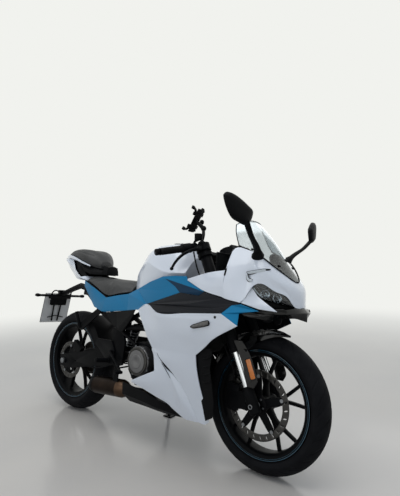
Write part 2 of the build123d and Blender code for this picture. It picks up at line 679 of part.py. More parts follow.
def swingarm():
    """Two box legs, joined ahead of the tyre, on the pivot shaft."""
    outline = [(-42, REAR_TYRE_R - 30), *ARM_TOP, (500, 425), (535, 418), (545, 388),
               (535, 352), (500, 340), (300, 306), (60, REAR_TYRE_R - 38)]
    axle_hole = rod(REAR_AXLE - Vector(0, 200, 0), REAR_AXLE + Vector(0, 200, 0),
                    AXLE_R + RUN_CLEARANCE)
    pivot_hole = rod(SWING_PIVOT - Vector(0, 200, 0), SWING_PIVOT + Vector(0, 200, 0),
                     PIVOT_R + RUN_CLEARANCE)
    legs_ = [slab(outline, min(side * ARM_IN, side * ARM_OUT), max(side * ARM_IN, side * ARM_OUT))
             for side in (-1, 1)]
    bridge = slab([(BRIDGE_X, 330), (BRIDGE_X, 396), (470, 412), (470, 344)], -ARM_IN, 70)
    bridge_left = slab([(395, 345), (395, 372), (470, 380), (470, 358)], 70, ARM_IN)
    pivot_tube = rod(SWING_PIVOT - Vector(0, ARM_OUT, 0), SWING_PIVOT + Vector(0, 70, 0), 24.0)
    pivot_left = rod(SWING_PIVOT + Vector(0, 70, 0), SWING_PIVOT + Vector(0, ARM_OUT, 0), 17.0)
    body = fuse(*legs_, bridge, bridge_left, pivot_tube, pivot_left,
                slab([(455, 344), (455, 412), (520, 405), (520, 370)], -ARM_IN, 70))
    holes = [axle_hole, pivot_hole]
    for side in (-1, 1):                  # threaded holes for paddock stand bobbins
        y = side * ARM_OUT
        holes.append(rod((120, y, BOBBIN_Z), (120, y - side * BOBBIN_DEPTH, BOBBIN_Z), BOBBIN_R))
    for hole in holes:
        body = body - hole
    return body


BOBBIN_R = 4.25               # tapping size of an M10 x 1.5 thread
BOBBIN_DEPTH = 20.0
BOBBIN_Z = REAR_TYRE_R + 12


def rear_axle():
    half = ARM_OUT + 14
    shaft = rod(REAR_AXLE - Vector(0, half, 0), REAR_AXLE + Vector(0, half, 0), AXLE_R)
    outer_disc = REAR_DISC_Y - DISC_T / 2 - SIDE_GAP
    outer_sprocket = CHAIN_Y + 3 + SIDE_GAP
    right = rod((0, outer_disc, REAR_TYRE_R), (0, -ARM_IN, REAR_TYRE_R), 16.0)
    left = rod((0, outer_sprocket, REAR_TYRE_R), (0, ARM_IN, REAR_TYRE_R), 16.0)
    nuts = [rod((0, s * ARM_OUT, REAR_TYRE_R), (0, s * half, REAR_TYRE_R), 16.0) for s in (-1, 1)]
    return fuse(shaft, right, left, *nuts)


def rear_caliper():
    """The rear caliper above the swingarm leg, on a bracket from the axle."""
    y = REAR_DISC_Y
    body = block((86, 26, 46), (78, y - 5, REAR_TYRE_R + 86), (0, 32, 0))
    tab = block((70, 12, 24), (48, -ARM_IN + 6.5, REAR_TYRE_R + 52), (0, 14, 0))
    slot = rod((0, y - DISC_T / 2 - 2, REAR_TYRE_R), (0, y + DISC_T / 2 + 2, REAR_TYRE_R),
               REAR_DISC_R + 5)
    arm_room = slab([(-42, 200)] + [(x, z + 0.3) for x, z in ARM_TOP] + [(300, 200)], -200, -ARM_IN)
    return fuse(body, tab) - slot - arm_room


def chain():
    """The closed chain as one band round both sprockets."""
    def loop(extra):
        points = []
        for centre, radius in ((REAR_AXLE, SPROCKET_R), (FRONT_SPROCKET, FRONT_SPROCKET_R)):
            for k in range(40):
                a = 2 * math.pi * k / 40
                r = (radius + extra) / math.cos(math.pi / 40)
                points.append((centre.X + r * math.cos(a), centre.Z + r * math.sin(a)))
        points = sorted(points)
        hull = []
        for run in (points, points[::-1]):
            start = len(hull)
            for p in run:
                while len(hull) - start >= 2 and (
                        (hull[-1][0] - hull[-2][0]) * (p[1] - hull[-2][1])
                        - (hull[-1][1] - hull[-2][1]) * (p[0] - hull[-2][0])) <= 1e-9:
                    hull.pop()
                hull.append(p)
            hull.pop()
        return hull

    low, high = CHAIN_Y - CHAIN_HALF, CHAIN_Y + CHAIN_HALF
    return slab(loop(12.0), low, high) - slab(loop(0.3), low - 1, high + 1)


def rear_shock():
    """Spring and damper between the swingarm and the frame's upper cross tube."""
    eye = rod(SHOCK_TOP - Vector(0, 16, 0), SHOCK_TOP + Vector(0, 16, 0), 19.0,
              PIVOT_R + RUN_CLEARANCE)
    low = Vector(446, 0, 404)
    coil = rod(low, SHOCK_TOP - (SHOCK_TOP - low).normalized() * 17, 30.0)
    coil = coil - rod(SHOCK_TOP - Vector(0, 60, 0), SHOCK_TOP + Vector(0, 60, 0), 18.0)
    bridge = slab([(BRIDGE_X, 330), (BRIDGE_X, 396.4), (454, 412.5), (470, 412.5), (521, 407),
                   (521, 340)], -60, 60)
    return fuse(coil, eye) - bridge


PEG_SHOULDER = 12.0              # the peg's root, up to where a sleeve can slide


def footrests():
    """Rider's peg brackets with pegs, brake pedal and gear lever, outside the frame plates."""
    outline = [(330, 440), (345, 470), (470, 470), (500, 420), (500, 350), (470, 340), (440, 360)]
    pieces = []
    for side in (-1, 1):
        low, high = sorted((side * PLATE_OUT, side * (PLATE_OUT + 8)))
        plate = slab(outline, low, high)
        root, tip = Vector(455, side * (PLATE_OUT + 4), 362), Vector(455, side * PEG_TIP, 370)
        along = (tip - root).normalized()
        peg = rod(root, tip, PEG_R) + rod(root, root + along * PEG_SHOULDER, PEG_R + 5)
        pedal = rod((480, side * (PLATE_OUT + 4), 412), (480, side * (PLATE_OUT + 22), 412), 9)
        arm = rod((480, side * (PLATE_OUT + 20), 412), (600, side * (PLATE_OUT + 36), 322), 6)
        pad = rod((600, side * (PLATE_OUT + 30), 322), (600, side * (PLATE_OUT + 74), 322), 8)
        pieces.append(fuse(plate, peg, pedal, arm, pad))
    return Compound(pieces)


PEG_R = 12.0
PEG_TIP = 232.0


def passenger_pegs():
    """Alloy hangers on the seat rail's lower corner, each with its peg folded up."""
    pieces = []
    x, y, z = RAIL["low"]
    for side in (-1, 1):
        low, high = sorted((side * (y + 11.2), side * (y + 21.2)))
        hanger = slab([(x - 12, z + 16), (x + 18, z + 10), (x + 16, z - 8), (146, 496), (114, 502),
                       (116, 530)], low, high)
        peg = rod((130, side * (y + 22), 510), (108, side * (y + 38), 604), 11.0)
        pieces.append(fuse(hanger, peg))
    return Compound(pieces)


# ---------------------------------------------------------------- tank, seats, panels
def body_rings(table):
    """Closed rings across the bike, each from (half width, height) pairs from the top down."""
    rings = []
    for x, *pairs in table:
        right = [Vector(x, -y, z) for y, z in pairs]
        left = [Vector(x, y, z) for y, z in reversed(pairs) if y > 0]
        rings.append(right + left)
    return rings


FUEL_TANK = [    # x, then (half width, z): crown, shoulder, crease, lower edge
    (560, (0, 800), (40, 797), (62, 785), (62, 772)),
    (574, (0, 868), (45, 860), (80, 820), (84, 752)),
    (646, (0, 960), (75, 940), (108, 884), (118, 742)),
    (700, (0, 992), (90, 968), (130, 896), (128, 738)),
    (780, (0, 1000), (105, 974), (152, 870), (136, 745)),
    (862, (0, 998), (108, 968), (158, 845), (136, 768)),
    (925, (0, 982), (100, 950), (154, 842), (128, 790)),
    (968, (0, 934), (60, 913), (130, 842), (110, 808))]


def fuel_tank():
    solid = rings_solid(body_rings(FUEL_TANK))
    pocket = rod(CAP_SEAT, CAP_SEAT + CAP_UP * 60, CAP_R + 3)
    return (solid - pocket) - rod(CAP_SEAT - CAP_UP * FILLER_DEPTH, CAP_SEAT + CAP_UP * 60,
                                  FILLER_R)


CAP_UP = Vector(0.02, 0, 1).normalized()
CAP_SEAT = Vector(826, 0, 991)
CAP_R = 48.0
CAP_T = 12.0
FILLER_R = 20.0
FILLER_DEPTH = 60.0
CAP_HINGE = CAP_SEAT + Vector(CAP_R + 4, 0, CAP_T + 2)


def fuel_cap():
    """The filler lid, hinged at its front edge."""
    lid = rod(CAP_SEAT + CAP_UP * 0.3, CAP_SEAT + CAP_UP * CAP_T, CAP_R)
    knuckle = rod(CAP_HINGE - Vector(0, 12, 0), CAP_HINGE + Vector(0, 12, 0), 5.0)
    web = block((22, 20, 6), CAP_HINGE - Vector(12, 0, 3))
    return fuse(lid, knuckle, web)


RIDER_SEAT = [    # x, then (half width, z)
    (168, (0, 826), (72, 822), (108, 808), (124, 798), (104, 791.5)),
    (230, (0, 814), (80, 812), (124, 794), (134, 778), (110, 768.5)),
    (286, (0, 808), (84, 806), (130, 784), (140, 757), (112, 746.5)),
    (400, (0, 802), (86, 799), (134, 768), (146, 714), (112, 702)),
    (504, (0, 796), (66, 792), (106, 770), (138, 730), (110, 719)),
    (556, (0, 788), (46, 784), (78, 768), (100, 742), (84, 732))]

PASSENGER_SEAT = [
    (-124, (0, 972), (52, 968), (66, 958), (50, 950)),
    (-40, (0, 990), (72, 985), (98, 962), (80, 938)),
    (60, (0, 988), (84, 982), (114, 944), (94, 914)),
    (120, (0, 978), (80, 968), (106, 916), (88, 890)),
    (160, (0, 956), (62, 943), (82, 896), (70, 874)),
    (190, (0, 915), (36, 905), (46, 882), (38, 866))]

TAIL_COWL = [
    (-178, (0, 944), (40, 941), (52, 934), (30, 926)),
    (-124, (0, 949), (56, 945), (76, 916), (58, 886)),
    (-40, (0, 937), (70, 932), (92, 884), (78, 838)),
    (20, (0, 905), (88, 900), (108, 860), (92, 806)),
    (90, (0, 850), (96, 846), (118, 815), (104, 797)),
    (156, (0, 800), (110, 799), (124, 796), (112, 793))]

SEAT_BASE = [     # between the tail unit and the passenger's seat
    (24, (0, 921), (84, 921), (90, 912), (86, 905)),
    (90, (0, 901.2), (80, 901.2), (96, 876), (92, 851)),
    (164, (0, 871.5), (64, 871.5), (92, 852), (96, 832)),
    (214, (0, 858), (44, 858), (56, 846), (60, 832)),
    (222, (0, 892), (40, 888), (46, 860), (52, 832)),
    (256, (0, 884), (36, 878), (42, 856), (46, 832))]


def rider_seat():
    return rings_solid(body_rings(RIDER_SEAT))


def passenger_seat():
    return rings_solid(body_rings(PASSENGER_SEAT))


def tail_cowl():
    """The raised white tail unit below the passenger's seat."""
    return rings_solid(body_rings(TAIL_COWL))


def seat_base():
    """The black base that carries the passenger's seat above the tail unit."""
    return rings_solid(body_rings(SEAT_BASE))


def ear_clip(points):
    """Triangles of a simple outline of (x, z) points."""
    def cross(o, a, b):
        return (a[0] - o[0]) * (b[1] - o[1]) - (a[1] - o[1]) * (b[0] - o[0])

    order = list(range(len(points)))
    area = sum(cross((0, 0), points[i - 1], points[i]) for i in order)
    if area < 0:
        order.reverse()
    triangles = []
    while len(order) > 3:
        best = None
        for k in range(len(order)):
            i, j, l = order[k - 1], order[k], order[(k + 1) % len(order)]
            a, b, c = points[i], points[j], points[l]
            if cross(a, b, c) <= 1e-9:
                continue
            if any(cross(a, b, points[m]) >= 0 and cross(b, c, points[m]) >= 0
                   and cross(c, a, points[m]) >= 0 for m in order if m not in (i, j, l)):
                continue
            sides = [math.dist(a, b), math.dist(b, c), math.dist(c, a)]
            quality = cross(a, b, c) / max(sides) ** 2
            if best is None or quality > best[0]:
                best = (quality, k, (i, j, l))
        triangles.append(best[2])
        order.pop(best[1])
    return triangles + [tuple(order)]


def inset(outline, distance):
    """Drawn corners in place, moved inwards, in side view, from every edge by a distance."""
    outline = [drawn(p) for p in outline]
    area = sum(a[0] * b[2] - b[0] * a[2] for a, b in zip(outline, outline[1:] + outline[:1]))
    turn = 1 if area > 0 else -1
    moved = []
    for k, (x, y, z) in enumerate(outline):
        before, after = outline[k - 1], outline[(k + 1) % len(outline)]
        u = Vector(x - before[0], z - before[2], 0).normalized()
        v = Vector(after[0] - x, after[2] - z, 0).normalized()
        normals = Vector(-u.Y, u.X, 0) * turn, Vector(-v.Y, v.X, 0) * turn
        half = normals[0] + normals[1]
        step = half * (2 * distance / max(half.length ** 2, 0.4))
        moved.append((x + step.X, y, z + step.Y))
    return moved


def panel(outline, thickness=PANEL_T):
    """A faceted plate on the right side from (x, y, z) corners, thickened inwards."""
    outer = [Vector(*p) for p in outline]
    inner = [p + Vector(0, thickness, 0) for p in outer]
    faces = []
    for i, j, l in ear_clip([(p.X, p.Z) for p in outer]):
        faces.append(tri(outer[i], outer[j], outer[l]))
        faces.append(tri(inner[l], inner[j], inner[i]))
    count = len(outer)
    for k in range(count):
        m = (k + 1) % count
        faces.append(tri(outer[m], outer[k], inner[k]))
        faces.append(tri(outer[m], inner[k], inner[m]))
    return closed_solid(faces)


def panel_inside(outline, seam):
    """The space from a panel's skin to the middle of the bike, for trimming its brackets."""
    return panel(inset(outline, seam / 2 + 3), 110.0)


CORNER = {            # corners that neighbouring panels share, right side: x, y, z
    "tank_rear": (664, -152, 757), "four_way": (773, -190, 683), "crease_low": (877, -213, 647),
    "fairing_front": (1270, -233, 669), "wedge_top": (1312, -217, 706),
    "cheek_low": (1157, -210.5, 757), "cheek_tip": (1041, -191, 804), "lamp_low": (1356, -214, 712),
    "fairing_tip": (1354, -231, 625)}
SIDE_FAIRING = [
    (712, -186, 652), CORNER["four_way"], CORNER["crease_low"], CORNER["fairing_front"],
    CORNER["fairing_tip"], (1230, -224, 560), (1122, -205, 478), (1146, -192, 330),
    (1186, -172, 203), (1160, -166, 186), (1042, -168, 186), (943, -172, 231), (812, -172, 262),
    (687, -180, 291), (693, -182, 300), (858, -186, 371), (832, -190, 478), (762, -190, 575)]
MIDDLE_PANEL = [
    CORNER["four_way"], (1023, -206, 747), CORNER["cheek_low"], (1258, -213.5, 733),
    CORNER["lamp_low"], CORNER["wedge_top"], CORNER["fairing_front"], CORNER["crease_low"]]
TANK_PANEL = [
    CORNER["tank_rear"], (770, -168, 796), (868, -180, 822), (1030, -186, 825),
    CORNER["cheek_tip"], CORNER["cheek_low"], (1023, -206, 747), CORNER["four_way"]]
FRONT_WEDGE = [
    CORNER["fairing_front"], CORNER["wedge_top"], CORNER["lamp_low"], (1427, -188, 688),
    (1344, -206, 674), CORNER["fairing_tip"]]
TAIL_PANEL = [
    (158, -128, 760), (162, -130, 791), (286, -140, 745), (400, -150, 700), (504, -150, 717),
    CORNER["tank_rear"], CORNER["four_way"], (712, -186, 652), (684, -178, 650), (504, -152, 630),
    (400, -150, 619), (286, -142, 643)]


def pair_of_panels(outline):
    return both(panel(inset(outline, SEAM / 2)))


def tank_panels():
    """Panels beside the tank, each with the boss that bolts it to the tank."""
    skin = panel(inset(TANK_PANEL, SEAM / 2))
    boss = rod((850, -100, 800), (850, -260, 800), 8.0) & panel_inside(TANK_PANEL, SEAM)
    whole = fuse(skin, boss) - rings_solid(body_rings(FUEL_TANK))
    return both(max(whole.solids(), key=lambda solid: solid.volume))


def side_fairings():
    """White side panels, each with its brackets to the engine."""
    outline = inset(SIDE_FAIRING, SEAM / 2)
    inside = panel(outline, 150.0)
    high = rod((900, -CYLINDER_HALF, 560), (900, -260, 560), 9.0) & inside
    low = rod((800, -ENGINE_HALF, 300), (800, -260, 300), 8.0) & inside
    return both(fuse(panel(outline), high, low))


NOSE_STATIONS = [       # right half rows from the rear: each (x, y, z) from the upper edge down
    ((1041, -188, 814), (1041, -190, 811), (1041, -192, 808), (1041, -192, 806)),
    ((1159, -184, 843), (1158, -196, 818), (1157, -206, 786), (1157, -210, 760)),
    ((1258, -176, 856), (1258, -204, 826), (1258, -213, 780), (1258, -214, 738)),
    ((1272, -150, 951), (1264, -180, 880), (1265, -208, 800), (1272, -216, 733)),
    ((1355, -135, 937), (1356, -160, 880), (1356, -176, 817), (1358, -214, 718)),
    ((1384, -122, 916), (1400, -150, 862), (1402, -158, 838), (1404, -166, 800)),
    ((1418, -105, 888), (1446, -125, 830), (1458, -118, 785), (1462, -120, 770)),
    ((1452, -78, 857), (1483, -92, 800), (1490, -82, 768), (1494, -84, 752)),
    ((1481, -45, 829), (1506, -55, 788), (1514, -48, 718), (1515, -46, 708)),
    ((1497, 0, 811), (1521, 0, 770), (1528, 0, 720), (1528, 0, 708))]


def nose_cowl():
    """The white nose with its cheeks, a thin shell open to the rear."""
    rows = [[Vector(*drawn(p)) for p in row] for row in NOSE_STATIONS]
    left = [[Vector(p.X, -p.Y, p.Z) for p in row] for row in reversed(rows[:-1])]
    grid = rows + left
    return shell_solid(grid, PANEL_T, lambda p: Vector(ahead(1150), 0, 780) - p)


def windshield():
    """The clear screen, a curved sheet that stands on the nose."""
    table = [       # height share, centre (x, z), middle (x, y, z), edge (x, y, z)
        ((1496, 812), (1452, 79, 858), (1384, 123, 917), (1288, 144, 962)),
        ((1440, 892), (1398, 76, 925), (1338, 116, 962), (1270, 134, 992)),
        ((1368, 992), (1340, 66, 1008), (1300, 100, 1022), (1256, 126, 1030)),
        ((1275, 1092), (1268, 52, 1088), (1258, 86, 1078), (1246, 112, 1062))]
    grid = []
    for (cx, cz), *rest in table:
        right = [Vector(ahead(x), -y, z + 1.5) for x, y, z in reversed(rest)]
        left = [Vector(ahead(x), y, z + 1.5) for x, y, z in rest]
        grid.append(right + [Vector(ahead(cx), 0, cz + 1.5)] + left)
    return shell_solid(grid, 3.0, lambda p: Vector(ahead(1150), 0, 900) - p)


def headlights():
    """The two swept lamps in the nose's openings, one closed block each."""
    outline = [(1359, 812), (1402, 835), (1457, 782), (1489, 764), (1511, 716), (1500, 707),
               (1406, 745)]
    plan = {1359: -172, 1402: -156, 1457: -116, 1489: -80, 1511: -50, 1500: -56, 1406: -160}
    front = [Vector(ahead(x), plan[x] + 6, z - 3) for x, z in outline]
    back = [p + Vector(-50, 26, -2) for p in front]
    faces = []
    for i, j, l in ear_clip([(p.X, p.Z) for p in front]):
        faces.append(tri(front[i], front[j], front[l]))
        faces.append(tri(back[l], back[j], back[i]))
    for k in range(len(front)):
        m = (k + 1) % len(front)
        faces.append(tri(front[m], front[k], back[k]))
        faces.append(tri(front[m], back[k], back[m]))
    return both(closed_solid(faces))


CHIN = [       # right half rows: upper edge, lower edge
    ((1348, -184, 688), (1342, -172, 655)), ((1440, -162, 690), (1432, -140, 642)),
    ((1494, -112, 697), (1490, -95, 648)), ((1520, -60, 705), (1530, -50, 650)),
    ((1528, 0, 707.3), (1546, 0, 652))]


def chin():
    """The black beak below the lamps."""
    rows = []
    for edges in CHIN:
        top, bottom = [Vector(*drawn(p)) for p in edges]
        rows.append([top, (top + bottom) * 0.5 + Vector(4, 0, 0), bottom])
    left = [[Vector(p.X, -p.Y, p.Z) for p in row] for row in reversed(rows[:-1])]
    return shell_solid(rows + left, PANEL_T, lambda p: Vector(ahead(1250), 0, 700) - p)


def nose_frame():
    """The bracket from the steering head that carries the nose, the lamps and the dash."""
    outlines = {                       # side views, each with its half width
        "spine": ([(1100, 775), (1085, 812), (1440, 762), (1440, 745)], 12),
        "dash": ([(1214, 830), (1180, 905), (1192, 912), (1232, 834)], 74),
        "mast": ([(1212, 780), (1212, 836), (1234, 836), (1234, 780)], 8)}
    plates = [slab([drawn(p) for p in side], -half, half) for side, half in outlines.values()]
    cross = rod((ahead(1290), -200, 772), (ahead(1290), 200, 772), 7.0)
    head = rod(steer_point(HEAD_LOW_Z), steer_point(HEAD_TOP_Z), 27.3)
    whole = fuse(*plates, cross) - head - nose_cowl()
    return max(whole.solids(), key=lambda solid: solid.volume)


MIRROR_CENTRE = (ahead(1398), 318, 1082)


def mirror():
    """The left mirror, its stalk standing on the nose's shoulder."""
    seat, out = Vector(ahead(1392), 136, 889), Vector(0.542, 0.669, 0.508)
    centre, forward = Vector(*MIRROR_CENTRE), Vector(0.93, -0.2, 0.12).normalized()
    wide = Vector(-0.20, 0.90, 0.38).normalized()
    foot = rod(seat - out * 12, seat + out * 14, 12.0)
    stalk = rod(seat + out * 6, centre + forward * 12, 7.0)
    ellipse = Face(Wire(Edge.make_ellipse(86, 46, Plane(origin=centre, x_dir=wide,
                                                        z_dir=forward))))
    whole = fuse(foot, stalk, Solid.extrude(ellipse, forward * 26)) - nose_cowl()
    return max(whole.solids(), key=lambda solid: solid.volume)


def plate_hanger():
    """The arm under the tail that carries the plate and the rear indicators."""
    x, _, z = RAIL["tail"]
    arm = slab([(x - 6, z + 20), (x - 6, z - 16), (60, 716), (-80, 744), (-270, 690), (-308, 678),
                (-308, 690), (-270, 706), (-60, 776), (60, 750)], -22, 22)
    arm = arm - block((20.6, 80, 19.6), (x, 0, z))
    bar = rod((-290, -INDICATOR_IN, 686), (-290, INDICATOR_IN, 686), 6.0)
    carrier = slab([(-312, 700), (-304, 700), (-352, 502), (-360, 502)], -88, 88)
    return fuse(arm, bar, carrier)


INDICATOR_IN = 142.0


def number_plate():
    """A blank plate on its carrier."""
    return slab([(-312.4, 700), (-316, 700), (-364, 502), (-360.4, 502)], -100, 100)


def rear_lights():
    """Tail lamp and the two indicators on their stems."""
    lamp = block((16, 76, 22), (-186.5, 0, 932))
    pods = [rod((-290, side * (INDICATOR_IN + 0.5), 686), (-290, side * 188, 686), 15.0)
            for side in (-1, 1)]
    return Compound([lamp] + pods)


HUGGER_START = 62.0              # degrees from ahead
HUGGER_TOP = 640.0
HUGGER_STATIONS = (0, 18 / 86, 36 / 86, 54 / 86, 72 / 86, 1)


def hugger():
    """The inner mudguard over the front of the rear tyre."""
    grid = []
    rise = min((HUGGER_TOP - REAR_TYRE_R) / (REAR_TYRE_R + 19), 1)      # it ends below the seat rail
    start = min(HUGGER_START, math.degrees(math.asin(rise)))
    for k in range(6):
        a = math.radians(start + (10 - start) * HUGGER_STATIONS[k])
        row = []
        for y, room in ((-84, -20), (-80, 12), (-40, 18), (0, 19), (40, 18), (72, 12)):
            r = REAR_TYRE_R + room
            row.append(Vector(r * math.cos(a), y, REAR_TYRE_R + r * math.sin(a)))
        grid.append(row)
    arch = shell_solid(grid, -3.0, lambda p: REAR_AXLE - p)
    (x0, z0), (x1, z1) = ARM_TOP[1:]                     # the tab lies along the swingarm's top
    top = [(x, z0 + (x - x0) * (z1 - z0) / (x1 - x0)) for x in (236, 280)]
    tab = slab([(x, z + 0.4) for x, z in top] + [(x, z + 7) for x, z in reversed(top)], -106, -81)
    return fuse(arch, tab)


def seat_covers():
    """The black side covers below the seat rail."""
    outline = [(400, -151, 619), (504, -153, 630), (684, -178, 650), (655, -172, 610),
               (610, -162, 566), (562, -158, 520), (520, -157, 535), (470, -154, 570)]
    return both(panel(inset(outline, SEAM / 2), 3.0))


# ---------------------------------------------------------------- side stand
lean = math.radians(LEAN)
LIFT = REAR_CROWN_R * (1 - math.cos(lean))     # a rounded tyre rises off its middle when leaned
STAND_PIVOT = Vector(560, 150, 262)
STAND_AXIS = Vector(0.01, 0.95, 0.31).normalized()
STAND_FOOT_X, STAND_FOOT_Y = 580.0, 230.0
STAND_R = 9.0
STAND_PIN_R = 6.0
STAND_SWING = 86.0


def floor_height(y):
    """Height, in the upright frame, of the parked bike's floor at a sideways position."""
    return y * math.tan(lean) - LIFT / math.cos(lean)


def stand_lug():
    """The boss and pin on the left frame plate that carry the side stand."""
    plate = slab([(500, 335), (556, 345), (578, 268), (566, 246), (546, 246), (530, 290)],
                 PLATE_IN, PLATE_OUT)
    boss = rod(STAND_PIVOT - STAND_AXIS * 26, STAND_PIVOT, 14.0)
    pin = rod(STAND_PIVOT - STAND_AXIS * 4, STAND_PIVOT + STAND_AXIS * 28, STAND_PIN_R)
    nut = rod(STAND_PIVOT + STAND_AXIS * 21, STAND_PIVOT + STAND_AXIS * 28, 10.0)
    return fuse(plate, boss, pin, nut)


def side_stand():
    """A leg with a flat foot, turning on the frame's pin."""
    foot = Vector(STAND_FOOT_X, STAND_FOOT_Y, floor_height(STAND_FOOT_Y))
    floor_up = Vector(0, -math.sin(lean), math.cos(lean))
    eye_low, eye_high = STAND_PIVOT + STAND_AXIS * 0.5, STAND_PIVOT + STAND_AXIS * 20.5
    eye = rod(eye_low, eye_high, 15.0)
    leg = rod((eye_low + eye_high) * 0.5, foot + floor_up * 5, STAND_R)
    pad = Plane(origin=foot + floor_up * 3, z_dir=floor_up).location * Box(40, 58, 6)
    below = Plane(origin=foot - floor_up * 20, z_dir=floor_up).location * Box(120, 120, 40)
    bore = rod(STAND_PIVOT - STAND_AXIS * 20, STAND_PIVOT + STAND_AXIS * 40,
               STAND_PIN_R + RUN_CLEARANCE)
    return fuse(eye, leg, pad) - bore - below


# ---------------------------------------------------------------- everything, then its placing
def upright_parts():
    """Every node, still upright in the bike's own frame."""
    return {
        "fork_lowers": Compound([fuse(leg[0], leg[1]) for leg in legs]),
        "fork_uppers": fork_tubes,
        "steering_yokes": steering_yokes,
        "handlebars": both(fuse(clip_on(), bar_weight())),
        "grips": both(grip()),
        "hand_controls": Compound([fuse(switch_box(), lever()),
                                   fuse(other_side(fuse(switch_box(), lever())),
                                        brake_reservoir())]),
        "phone_holder": phone_holder(),
        "front_mudguard": Compound([fender(), fork_guard(-1), fork_guard(1)]),
        "front_caliper": caliper(),
        "brake_hose": brake_hose(),
        "front_axle": front_axle(),
        "front_wheel": front_wheel,
        "front_tyre": front_tyre,
        "front_disc": front_disc,
        "rear_wheel": rear_wheel,
        "rear_tyre": rear_tyre,
        "rear_disc": rear_disc,
        "rear_sprocket": sprocket(),
        "side_stand": side_stand(),
        "fuel_cap": fuel_cap(),
        "frame": frame(),
        "rear_subframe": rear_subframe(),
        "engine": engine(),
        "engine_covers": engine_covers(),
        "radiator": radiator(),
        "exhaust_header": exhaust_header(),
        "muffler": muffler(),
        "belly_cover": belly_cover(),
        "swingarm": swingarm(),
        "rear_shock": rear_shock(),
        "rear_axle": rear_axle(),
        "rear_caliper": rear_caliper(),
        "drive_chain": chain(),
        "fuel_tank": fuel_tank(),
        "side_fairings": side_fairings(),
        "middle_panels": pair_of_panels(MIDDLE_PANEL),
        "tank_panels": tank_panels(),
        "front_wedges": pair_of_panels(FRONT_WEDGE),
        "tail_panels": pair_of_panels(TAIL_PANEL),
        "tail_cowl": tail_cowl(),
        "seat_base": seat_base(),
        "rider_seat": rider_seat(),
        "passenger_seat": passenger_seat(),
        "seat_covers": seat_covers(),
        "nose_cowl": nose_cowl(),
        "nose_frame": nose_frame(),
        "windshield": windshield(),
        "headlights": headlights(),
        "beak": chin(),
        "mirrors": both(mirror()),
        "plate_hanger": plate_hanger(),
        "number_plate": number_plate(),
        "rear_lights": rear_lights(),
        "hugger": hugger(),
        "footrests": footrests(),
        "passenger_pegs": passenger_pegs(),
    }


def leaned(shape):
    """Lean to the left about the ground line, and lift the tyres back onto the floor."""
    return Location((0, 0, LIFT)) * (Location((0, 0, 0), (-LEAN, 0, 0)) * shape)


def placing(parts):
    """The shift that puts the origin on the floor under the middle of the leaned bike."""
    box = Compound([leaned(shape) for shape in parts.values()]).bounding_box()
    return Vector(-(box.min.X + box.max.X) / 2, -(box.min.Y + box.max.Y) / 2, -box.min.Z)


def main():
    os.makedirs("parts", exist_ok=True)
    parts = upright_parts()
    shift = placing(parts)
    print("origin shift", [round(v, 4) for v in shift])
    for name, shape in parts.items():
        export_step(Location(shift) * leaned(shape), f"parts/{name}.step")


if __name__ == "__main__":
    main()
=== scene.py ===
"""Looks of a parked sport bike: painted panels, cast wheels, tyres, lamps and seats round a fixed frame.

Every shape is worked out upright in the bike's own frame, in millimetres: X forward with x = 0 at the
rear axle, Y to the left, Z up with z = 0 where the upright tyres meet the road.  row_frame() leans the
result to the left, as the bike stands on its side stand, and turns it into metres.
"""
import json
from math import asin, atan2, cos, degrees, hypot, pi, radians, sin

import bmesh
import bpy
import numpy as np
from bpy.props import FloatProperty, FloatVectorProperty, PointerProperty
from mathutils import Matrix, Vector
from mathutils.geometry import tessellate_polygon

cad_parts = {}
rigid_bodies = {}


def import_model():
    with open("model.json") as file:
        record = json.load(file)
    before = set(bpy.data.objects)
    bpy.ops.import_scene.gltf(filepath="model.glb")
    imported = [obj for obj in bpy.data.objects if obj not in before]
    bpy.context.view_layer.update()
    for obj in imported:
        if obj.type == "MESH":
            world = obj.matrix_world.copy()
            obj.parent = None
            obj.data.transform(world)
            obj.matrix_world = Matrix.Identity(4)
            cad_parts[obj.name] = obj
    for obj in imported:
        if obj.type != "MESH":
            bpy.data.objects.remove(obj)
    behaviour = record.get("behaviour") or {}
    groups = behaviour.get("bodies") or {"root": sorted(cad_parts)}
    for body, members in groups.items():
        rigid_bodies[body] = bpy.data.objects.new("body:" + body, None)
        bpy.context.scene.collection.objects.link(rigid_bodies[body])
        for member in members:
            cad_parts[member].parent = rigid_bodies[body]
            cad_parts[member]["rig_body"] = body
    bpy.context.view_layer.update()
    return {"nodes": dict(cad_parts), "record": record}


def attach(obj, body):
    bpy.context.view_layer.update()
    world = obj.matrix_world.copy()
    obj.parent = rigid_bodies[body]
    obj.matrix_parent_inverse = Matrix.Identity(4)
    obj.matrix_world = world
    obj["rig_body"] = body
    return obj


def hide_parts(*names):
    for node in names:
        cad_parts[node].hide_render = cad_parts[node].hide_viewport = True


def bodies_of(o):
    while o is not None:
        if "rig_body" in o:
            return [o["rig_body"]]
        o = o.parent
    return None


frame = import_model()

bl_info = {
    "name": "Sport bike looks", "version": (1, 0, 0), "blender": (4, 5, 0), "category": "Add Mesh",
    "location": "3D View > Sidebar > Sport bike",
    "description": "Builds the finished surfaces of a parked sport bike on its CAD frame"}

